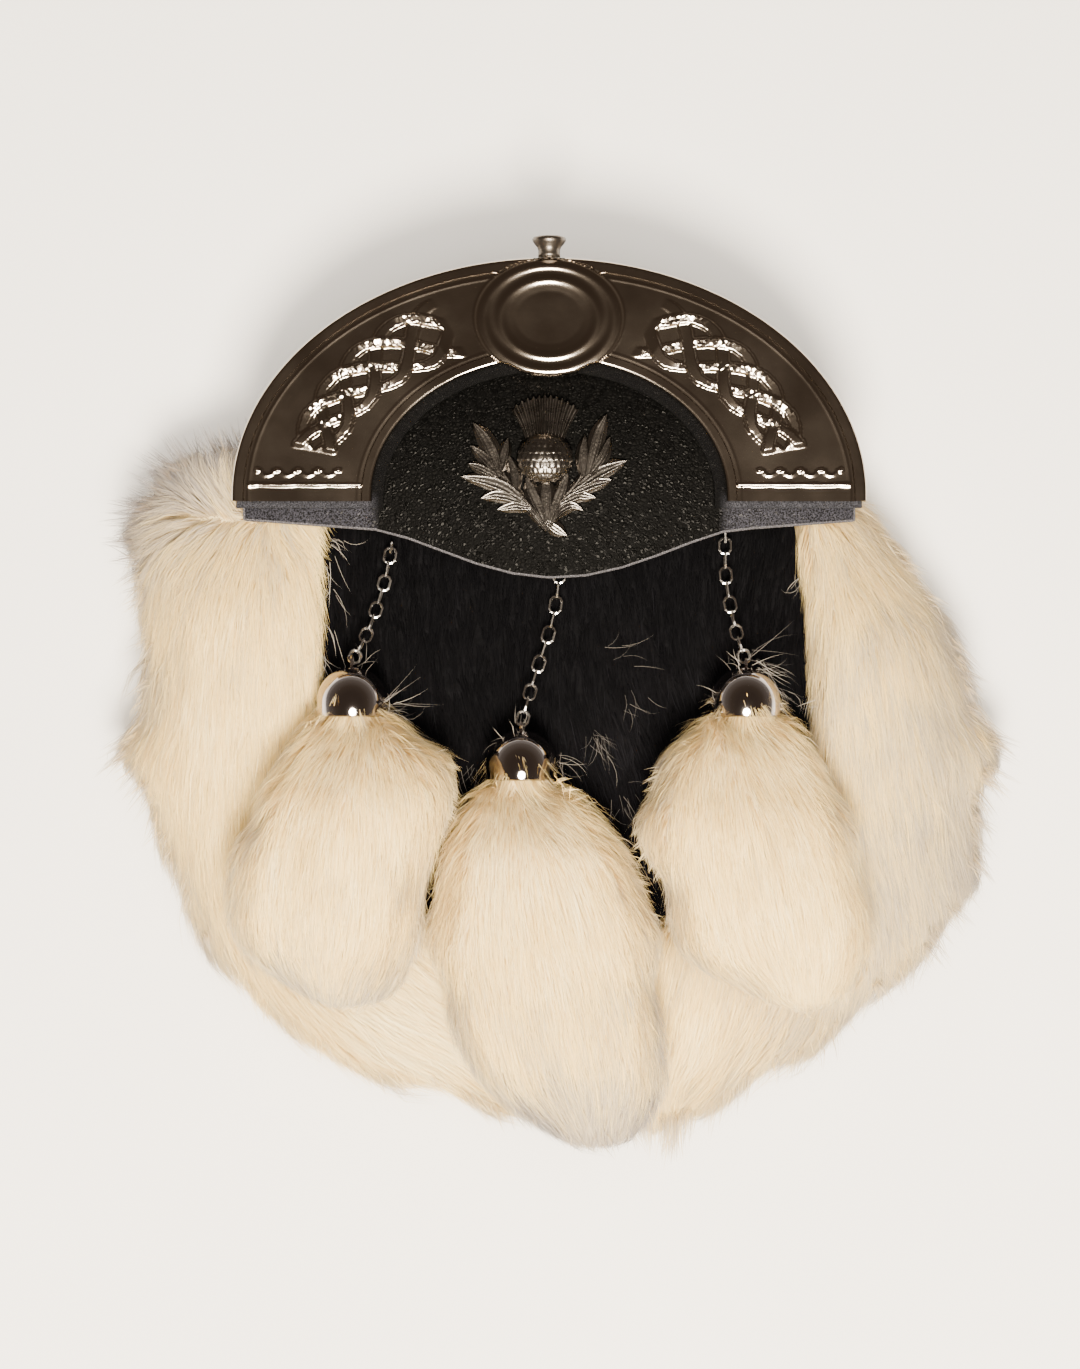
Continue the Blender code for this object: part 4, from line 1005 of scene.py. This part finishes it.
cap_wisps = strays("cap_wisps", 41, [
    (758, 668, 0.8, 0.6, 9, 20, 2.2), (770, 690, 0.7, 0.8, 9, 16, 2.4), (748, 655, 0.9, -0.3, 14, 5, 1.5),
    (735, 668, -0.3, -1.0, 5, 8, 2.0), (380, 705, 0.9, -0.6, 13, 7, 1.2), (392, 712, 0.9, -0.1, 9, 9, 2.0),
    (360, 668, 0.5, -0.9, 5, 7, 2.4), (520, 728, -0.2, -1.0, 4, 9, 2.2), (505, 740, -0.8, -0.7, 5, 6, 1.5),
    (720, 700, -0.9, -0.5, 6, 6, 1.5), (560, 760, 0.8, 0.4, 8, 8, 1.6),
], height=47 * MM, material=grey_hair, shade=(0.0, 0.9))
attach(cap_wisps, "root")
# Grey strokes down the front: painted sheen on the black hair, drawn as pale single hairs.
panel_painted_sheen = strays("panel_painted_sheen", 42, [
    (600, 740, 0.5, 1.0, 8, 22, 4.0), (630, 700, 0.6, 0.8, 7, 8, 3.0), (625, 800, 0.4, 1.0, 9, 16, 5.0),
    (655, 850, 0.1, 1.0, 9, 14, 3.0), (470, 770, 0.3, 1.0, 8, 10, 4.0), (620, 655, 0.7, -0.3, 8, 6, 4.0),
], height=36 * MM, material=grey_hair, shade=(0.0, 0.45))
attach(panel_painted_sheen, "root")
edge_wisps = strays("edge_wisps", 43, [
    (330, 560, 0.35, 1.0, 13, 4, 2.0), (328, 590, 0.25, 1.0, 12, 4, 2.0), (326, 625, 0.15, 1.0, 11, 4, 2.0),
    (322, 655, 0.1, 1.0, 8, 7, 2.0), (335, 540, 0.8, 0.5, 6, 8, 1.5), (797, 580, -0.5, 0.9, 5, 5, 1.5),
    (812, 700, -0.6, 0.6, 5, 5, 1.5),
], height=42 * MM, material=grey_hair, shade=(0.6, 1.0))
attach(edge_wisps, "root")
foot_tuft = strays("foot_tuft", 44, [
    (672, 1114, -0.05, 1.0, 11, 110, 2.4), (684, 1106, -0.25, 1.0, 9, 30, 2.0),
], height=22 * MM, material=white_hair, shade=(0.2, 0.55), wave=(0.10, 0.12),
    thick=foot_tuft_width)
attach(foot_tuft, "root")


# Leather: edges rounded over, in pale cut leather but on the dark backing

for node, material, width in (("flap", flap_leather, 0.9 * MM),
                              ("cantle_backing", backing_leather, 0.25 * MM),
                              ("back_panel", back_leather, 0.5 * MM),
                              ("belt_loop", back_leather, 0.5 * MM)):
    leather = put(node + "_leather", rounded_copy(node, width), material)
    leather.data.materials.append(material if node == "cantle_backing" else cut_leather)
    steepest = 0.95 if node == "flap" else 0.8
    for face in leather.data.polygons:
        cut = abs(face.normal.z) < steepest and (node != "flap" or face.center.y < 30 * MM)
        face.material_index = 1 if cut else 0
    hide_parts(node)
    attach(leather, "root")


# The cantle's casting


def ridge(distance, middle, half, height):
    """A round-topped ridge across a distance."""
    return height * np.sqrt(np.clip(1 - ((distance - middle) / half) ** 2, 0, 1))


def swell(distance, middle, half, height):
    """A soft swelling across a distance, without an edge."""
    return height * (1 + np.cos(np.clip((distance - middle) / half, -1, 1) * math.pi)) / 2


def cantle_relief(x, y, share, turn, wide):
    """The casting's height over its plate, and how much of each place is a woven bar."""
    from_outer = (1 - share) * wide
    from_inner = share * wide
    away = np.minimum(from_outer, from_inner)
    # The raised rims, a low line inside each, and the line along each foot.
    outer_rim = ridge(from_outer, middle=1.4 * MM, half=1.5 * MM, height=2.6 * MM)
    high = np.minimum(outer_rim, outer_rim_height)
    high = np.maximum(high, swell(from_outer, middle=4.0 * MM, half=0.6 * MM, height=0.09 * MM))
    inner_rim = ridge(from_inner, middle=1.2 * MM, half=1.2 * MM, height=2.2 * MM)
    high = np.maximum(high, np.minimum(inner_rim, inner_rim_height))
    high = np.maximum(high, swell(from_inner, middle=3.3 * MM, half=0.6 * MM, height=0.065 * MM))
    inside = (from_outer > 3.5 * MM) & (from_inner > 2.7 * MM)
    foot_line = ridge(y, middle=2.7 * MM, half=0.38 * MM, height=0.38 * MM)
    high = np.maximum(high, np.where(inside, foot_line, 0))
    # The plait: flat-topped strands that sway from side to side and rise where they cross over.
    bars = np.zeros_like(high)
    aside = np.abs(turn - math.pi / 2)
    run = (aside - plait_start) / plait_run
    calm = np.clip(np.minimum(run / 0.10, (1 - run) / 0.03), 0, 1)
    across = (share - plait_middle) * wide
    sway = plait_sway * np.clip(1.25 - 0.5 * run, 0.5, 1.2)
    for strand in range(plait_strands):
        phase = run * plait_turns + strand * math.tau / plait_strands
        centre = sway * np.sin(phase)
        slope = 1 / np.sqrt(1 + (sway * np.cos(phase) * plait_turns / plait_length) ** 2)
        off = np.abs(across - centre) * slope
        over = strand_rise * np.sin(2 * phase)
        top = np.minimum(ridge(off, middle=0.0, half=strand_half_width, height=1.1 * MM), strand_height)
        lifted = np.where((off < strand_half_width) & (calm > 0), top, 0)
        lifted = (lifted + (strand_rise + over) * np.minimum(lifted / (0.3 * MM), 1)) * calm
        rising = np.clip(0.1 + 1.3 * np.cos(phase), 0, 1) * np.clip((0.93 - run) / 0.15, 0, 1)
        bars = np.where(lifted > np.maximum(high, 0.2 * MM), rising, bars)
        high = np.maximum(high, lifted)
    # The row of beads over each foot, and the scallops between them.
    for bead in range(bead_count):
        place = first_bead + bead * bead_gap
        off = np.sqrt((np.abs(x) - place) ** 2 + (y - bead_row) ** 2)
        high = np.maximum(high, ridge(off, middle=0.0, half=bead_radius, height=0.5 * MM))
        scallop = np.sqrt((np.abs(x) - place - bead_gap / 2) ** 2 + (y - bead_row - 0.4 * MM) ** 2)
        scallop = np.abs(scallop - scallop_radius)
        low_half = (y < bead_row + 0.2 * MM) & (bead < bead_count - 1)
        thread = ridge(scallop, middle=0.0, half=0.32 * MM, height=0.25 * MM)
        high = np.maximum(high, np.where(low_half, thread, 0))
    # The oval boss: a raised disc with two soft rings round a shallow dish.
    oval = np.sqrt((x / boss_half_width) ** 2 + ((y - boss_middle) / boss_half_height) ** 2)
    boss = boss_height * np.clip((1 - oval) / 0.05, 0, 1)
    boss = boss + swell(oval, middle=0.86, half=0.10, height=0.26 * MM)
    boss = boss + swell(oval, middle=0.64, half=0.10, height=0.27 * MM)
    boss = boss - boss_dish * np.clip((0.56 - oval) / 0.12, 0, 1)
    high = np.where(oval < 1, np.maximum(boss, 0.05 * MM), high)
    bars = np.where(oval < 1.05, 0.0, bars)
    # The casting's edges round down on both sides.
    rounding = 0.6 * MM * (1 - np.sqrt(np.clip(1 - (1 - np.clip(away / (0.8 * MM), 0, 1)) ** 2, 0, 1)))
    return high - rounding, bars


def cantle_mesh(columns, rows, inner_rows=18, outer_rows=22, foot_drop=1.2 * MM):
    """A fine grid bent into the half-moon, raised by its relief, with sides down to a flat back."""
    shape = bmesh.new()
    bmesh.ops.create_grid(shape, x_segments=columns, y_segments=rows, size=1.0)
    grid = np.array([v.co[:] for v in shape.verts])
    # The grid's columns run round the arch, from the inner edge, which dips under the boss, to the outer one.
    turn = (grid[:, 0] + 1) / 2 * math.pi
    line = (grid[:, 1] + 1) / 2 * rows
    inner_x = arch_half_width * np.cos(turn)
    inner_y = arch_height * np.sin(turn)
    level = (inner_x / boss_half_width) ** 2
    under_boss = boss_half_height - 0.6 * MM
    bump_y = boss_middle - under_boss * np.sqrt(np.clip(1 - level, 0, 1))
    dip = np.clip(inner_y - bump_y, 0, None) * np.clip((0.62 - level) / 0.5, 0, 1)
    inner_y = inner_y - dip
    outer_x = cantle_half_width * np.cos(turn)
    outer_y = cantle_height * np.sin(turn)
    wide = np.hypot(outer_x - inner_x, outer_y - inner_y)
    # Rows run close together along both rims, so that the rims' steps follow them, and even out between.
    low = 4.6 * MM / wide
    top = 1 - 5.4 * MM / wide
    share = np.where(line < inner_rows, line / inner_rows * low, 1 - (rows - line) / outer_rows * (1 - top))
    between = (line - inner_rows) / (rows - inner_rows - outer_rows)
    share = np.where((between >= 0) & (between <= 1), low + between * (top - low), share)
    x = inner_x + (outer_x - inner_x) * share
    y = inner_y + (outer_y - inner_y) * share
    high, bars = cantle_relief(x, y, share, turn, wide)
    # The feet reach a little lower than the solid's, as the photograph shows.
    y = y - foot_drop * np.clip(1 - y / (2.2 * MM), 0, 1)
    layer = shape.verts.layers.float.new("bars")
    for i, vert in enumerate(shape.verts):
        vert.co = (x[i], y[i], cantle_face + high[i])
        vert[layer] = bars[i]
    shape.verts.index_update()
    shape.normal_update()
    # Steep edges along the rims stay sharp.
    step = (np.minimum((1 - share) * wide - 3.6 * MM, share * wide - 2.7 * MM) < 0)
    shape.edges.ensure_lookup_table()
    for edge in shape.edges:
        first, second = edge.verts
        if step[first.index] and step[second.index] and edge.calc_face_angle(0) > math.radians(30):
            edge.smooth = False
    close_below(shape, cantle_back)
    return finish_mesh(shape, "cantle_casting")


cantle_piece = put("cantle_casting", cantle_mesh(columns=500, rows=98), casting)
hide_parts("cantle")
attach(cantle_piece, "root")

# The thistle badge: lobed leaf blades on a spine each, a scaly bulb and a fluted bloom

badge_back = 40.7 * MM
blade_thickness = 1.7 * MM
blade_rows = 16
leaf_fullness = 1.3
bloom_ridges = 12
bloom_height = 10.6 * MM
bulb_half_width = 6.6 * MM
bulb_half_height = 6.2 * MM
bulb_depth = 3.9 * MM
bulb_scale_rows = 11
bulb_scales_around = 26
# Each blade: its width in mm and the photograph's pixels that its spine follows from foot to tip.
left_blades = (
    (3.0, ((500, 477), (494, 455), (484, 436), (473, 423))),
    (2.3, ((500, 472), (504, 455), (508, 438))),
    (2.5, ((499, 474), (486, 458), (471, 446))),
    (2.2, ((497, 477), (481, 468), (468, 464))),
    (3.1, ((525, 503), (507, 487), (487, 480), (461, 477))),
    (2.6, ((527, 504), (508, 496), (494, 494), (481, 499))),
    (2.3, ((531, 508), (515, 505), (497, 510))),
    (2.4, ((516, 489), (515, 474), (509, 456))),
    (1.9, ((547, 531), (527, 505), (507, 484), (497, 462))),
)
right_blades = (
    (2.8, ((588, 475), (594, 450), (599, 431), (607, 414))),
    (2.5, ((584, 477), (583, 456), (585, 435))),
    (2.3, ((590, 474), (603, 456), (610, 437))),
    (3.0, ((581, 485), (600, 471), (627, 461))),
    (2.7, ((573, 493), (593, 483), (612, 480))),
    (2.5, ((560, 504), (578, 494), (596, 498))),
    (2.2, ((553, 520), (561, 509), (573, 504), (583, 511))),
    (1.9, ((547, 531), (560, 505), (579, 485), (589, 462))),
)
stem_blades = (
    (2.7, ((546, 524), (533, 494), (526, 478))),
    (2.9, ((547, 524), (546, 494), (546, 474))),
    (2.7, ((549, 524), (560, 494), (568, 473))),
    (2.3, ((546, 522), (556, 529), (567, 536))),
)


def leaf_blade(width, pixels):
    """One leaf lobe: a domed blade along its spine, with a vein and fine ribs, narrowing to its tip."""
    spine = np.array([seen(across, down, badge_back) for across, down in pixels])
    stops = np.linspace(0, 1, blade_rows + 1)
    own = np.linspace(0, 1, len(spine))
    line = np.column_stack([np.interp(stops, own, spine[:, k]) for k in (0, 1)])
    for _ in range(4):
        line[1:-1] = (line[:-2] + 2 * line[1:-1] + line[2:]) / 4
    run = unit(np.gradient(line, axis=0))
    aside = np.column_stack([-run[:, 1], run[:, 0]])
    shape = bmesh.new()
    bmesh.ops.create_grid(shape, x_segments=blade_rows, y_segments=blade_rows, size=1.0)
    for vert in shape.verts:
        share = (vert.co.x + 1) / 2
        station = int(round(share * blade_rows))
        across = vert.co.y
        swelling = (0.55 + 0.65 * math.sin(math.pi * share ** 0.9)) * (1 - share ** 7) ** 0.6
        half = leaf_fullness * width * MM / 2 * swelling
        place = line[station] + aside[station] * across * max(half, 0.05 * MM)
        dome = math.sqrt(1 - 0.9 * across * across) * (0.55 + 0.45 * (1 - share))
        ribs = 0.11 * math.cos(across * 4 * math.pi) - 0.20 * math.exp(-(across / 0.14) ** 2)
        vert.co = (place[0], place[1], badge_back + blade_thickness * (dome + ribs * (1 - share * 0.6)))
    close_below(shape, badge_back)
    return finish_mesh(shape, "blade")


def thistle_bloom():
    """The bloom's fan: fine ridges that spread from the bulb's neck to a rounded, slightly ragged top."""
    shape = bmesh.new()
    bmesh.ops.create_grid(shape, x_segments=72, y_segments=10, size=1.0)
    neck = seen(545, 441, badge_back)
    for vert in shape.verts:
        aside = vert.co.x
        share = (vert.co.y + 1) / 2
        ridge_line = math.cos(aside * bloom_ridges * math.pi)
        half = (4.6 + 3.7 * share ** 1.3) * MM
        top = bloom_height + (0.35 * ridge_line - 3.2 * aside * aside) * MM
        x = neck[0] + aside * half
        y = neck[1] + share * top - (1 - share) * 0.6 * MM * (1 - aside * aside)
        crown = math.sqrt(1 - 0.8 * aside * aside) * (2.6 - 1.0 * share) * MM
        vert.co = (x, y, badge_back + crown + 0.42 * MM * ridge_line * min(1, share * 3 + 0.3))
    close_below(shape, badge_back)
    return finish_mesh(shape, "bloom")


def thistle_bulb():
    """The bulb: a flattened ball with rows of small pointed scales that overlap upwards."""
    shape = bmesh.new()
    bmesh.ops.create_uvsphere(shape, u_segments=96, v_segments=64, radius=1.0)
    middle = seen(545, 458, badge_back)
    for vert in shape.verts:
        way = vert.co.normalized()
        row = math.acos(max(-1, min(1, way.y))) / math.pi * bulb_scale_rows
        shift = 0.5 * (int(row) % 2)
        turn = math.atan2(way.x, way.z) / math.tau * bulb_scales_around + shift
        along = row - int(row)
        point = 1 - abs(2 * (turn - math.floor(turn)) - 1)
        out = 0.98 + 0.07 * (along * point) ** 0.6
        x = middle[0] + way.x * out * bulb_half_width
        y = middle[1] + way.y * out * bulb_half_height
        vert.co = (x, y, max(badge_back, badge_back + 1.0 * MM + way.z * out * bulb_depth))
    bmesh.ops.remove_doubles(shape, verts=shape.verts, dist=0.01 * MM)
    return finish_mesh(shape, "bulb")


badge_shape = bmesh.new()
for width, pixels in left_blades + right_blades + stem_blades:
    badge_shape.from_mesh(leaf_blade(width, pixels))
badge_shape.from_mesh(thistle_bloom())
badge_shape.from_mesh(thistle_bulb())
badge = put("thistle_badge_casting", finish_mesh(badge_shape, "thistle_badge_casting"), badge_metal)
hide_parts("thistle_badge")
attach(badge, "root")

# Caps and knob


def arc(radius, turns):
    """A quarter circle's points as (radius, way along the axis), for turns in degrees."""
    return [(radius * math.sin(math.radians(turn)), radius * math.cos(math.radians(turn))) for turn in turns]


for side, (x, y) in cap_places.items():
    inner_radius = cap_radius - cap_wall
    outer = arc(cap_radius, range(0, 91, 6))
    inner = arc(inner_radius, range(90, -1, -10))
    rim = [(cap_radius, -cap_skirt + 0.3 * MM), (cap_radius - 0.2 * MM, -cap_skirt),
           (inner_radius, -cap_skirt)]
    dome = turned(f"tassel_cap_{side}_dome", outer + rim + inner, (x, y, cap_height))
    cap = put(f"tassel_cap_{side}_dome", dome, chrome)
    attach(cap, "root")

knob_shape = turned("cantle_knob_turned", [(r * MM, y * MM) for r, y in knob_profile], knob_place)
knob = put("cantle_knob_turned", knob_shape, nickel)
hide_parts("cantle_knob")
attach(knob, "root")

# The caps' own solids, with their necks and eyes, the chains and the staples stay as they are, in metal.
for side in cap_places:
    for node, metal in ((f"tassel_cap_{side}", chrome), (f"chain_{side}", chain_metal),
                        (f"chain_staple_{side}", chain_metal)):
        nodes[node].data.materials.clear()
        nodes[node].data.materials.append(metal)

# Floor, light and camera

floor_shape = bmesh.new()
bmesh.ops.create_grid(floor_shape, x_segments=1, y_segments=1, size=14.0)
floor = bpy.data.objects.new("backdrop", finish_mesh(floor_shape, "backdrop", smooth=False))
floor.data.materials.append(floor_material())
bpy.context.scene.collection.objects.link(floor)


def softbox(name, place, target, size, power, tone, mirrored=True):
    """A round softbox that faces a point; with mirrored off, it lights without showing in polished metal."""
    light = bpy.data.lights.new(name, "AREA")
    light.shape = "DISK"
    light.size = size
    light.energy = power
    light.color = colour(tone)[:3]
    lamp = bpy.data.objects.new(name, light)
    lamp.location = place
    lamp.visible_glossy = mirrored
    lamp.rotation_euler = (Vector(target) - Vector(place)).to_track_quat("-Z", "Y").to_euler()
    bpy.context.scene.collection.objects.link(lamp)
    return lamp


softbox("front_softbox", (0.03, -0.42, 0.86), (0, -0.05, 0.02), size=0.32, power=36.0, tone="FFF1DC")
softbox("back_softbox", (0.08, 1.25, 0.45), (0, 0, 0.04), size=0.34, power=6.0, tone="FFF6EC", mirrored=False)
softbox("overhead_fill", (0.0, 0.0, 10.0), (0, 0, 0), size=10.0, power=1740.0, tone="FFF6E8", mirrored=False)

world = bpy.data.worlds.new("studio")
bpy.context.scene.world = world
world.use_nodes = True
sky = world.node_tree
sky.nodes.clear()
sky_way = add(sky, "ShaderNodeTexCoord")
sky_parts = add(sky, "ShaderNodeSeparateXYZ", links={"Vector": sky_way.outputs["Generated"]})
# The room overhead is dim and warm, and the walls near the floor are pale.
sky_shade = add(sky, "ShaderNodeValToRGB", links={"Fac": sky_parts.outputs["Z"]},
                stops=[(0.0, colour("B4ADA4")), (0.25, colour("7C7166")), (0.6, colour("5A4D41")),
                       (0.85, colour("4E4238"))])
sky_light = add(sky, "ShaderNodeBackground", values={"Strength": 0.95},
                links={"Color": sky_shade.outputs["Color"]})
add(sky, "ShaderNodeOutputWorld", links={"Surface": sky_light.outputs["Background"]})

view = bpy.data.cameras.new("photo_camera")
view.lens = camera_lens
view.sensor_width = camera_sensor
view.sensor_fit = "AUTO"
camera = bpy.data.objects.new("photo_camera", view)
camera.location = camera_place
bpy.context.scene.collection.objects.link(camera)
bpy.context.scene.camera = camera
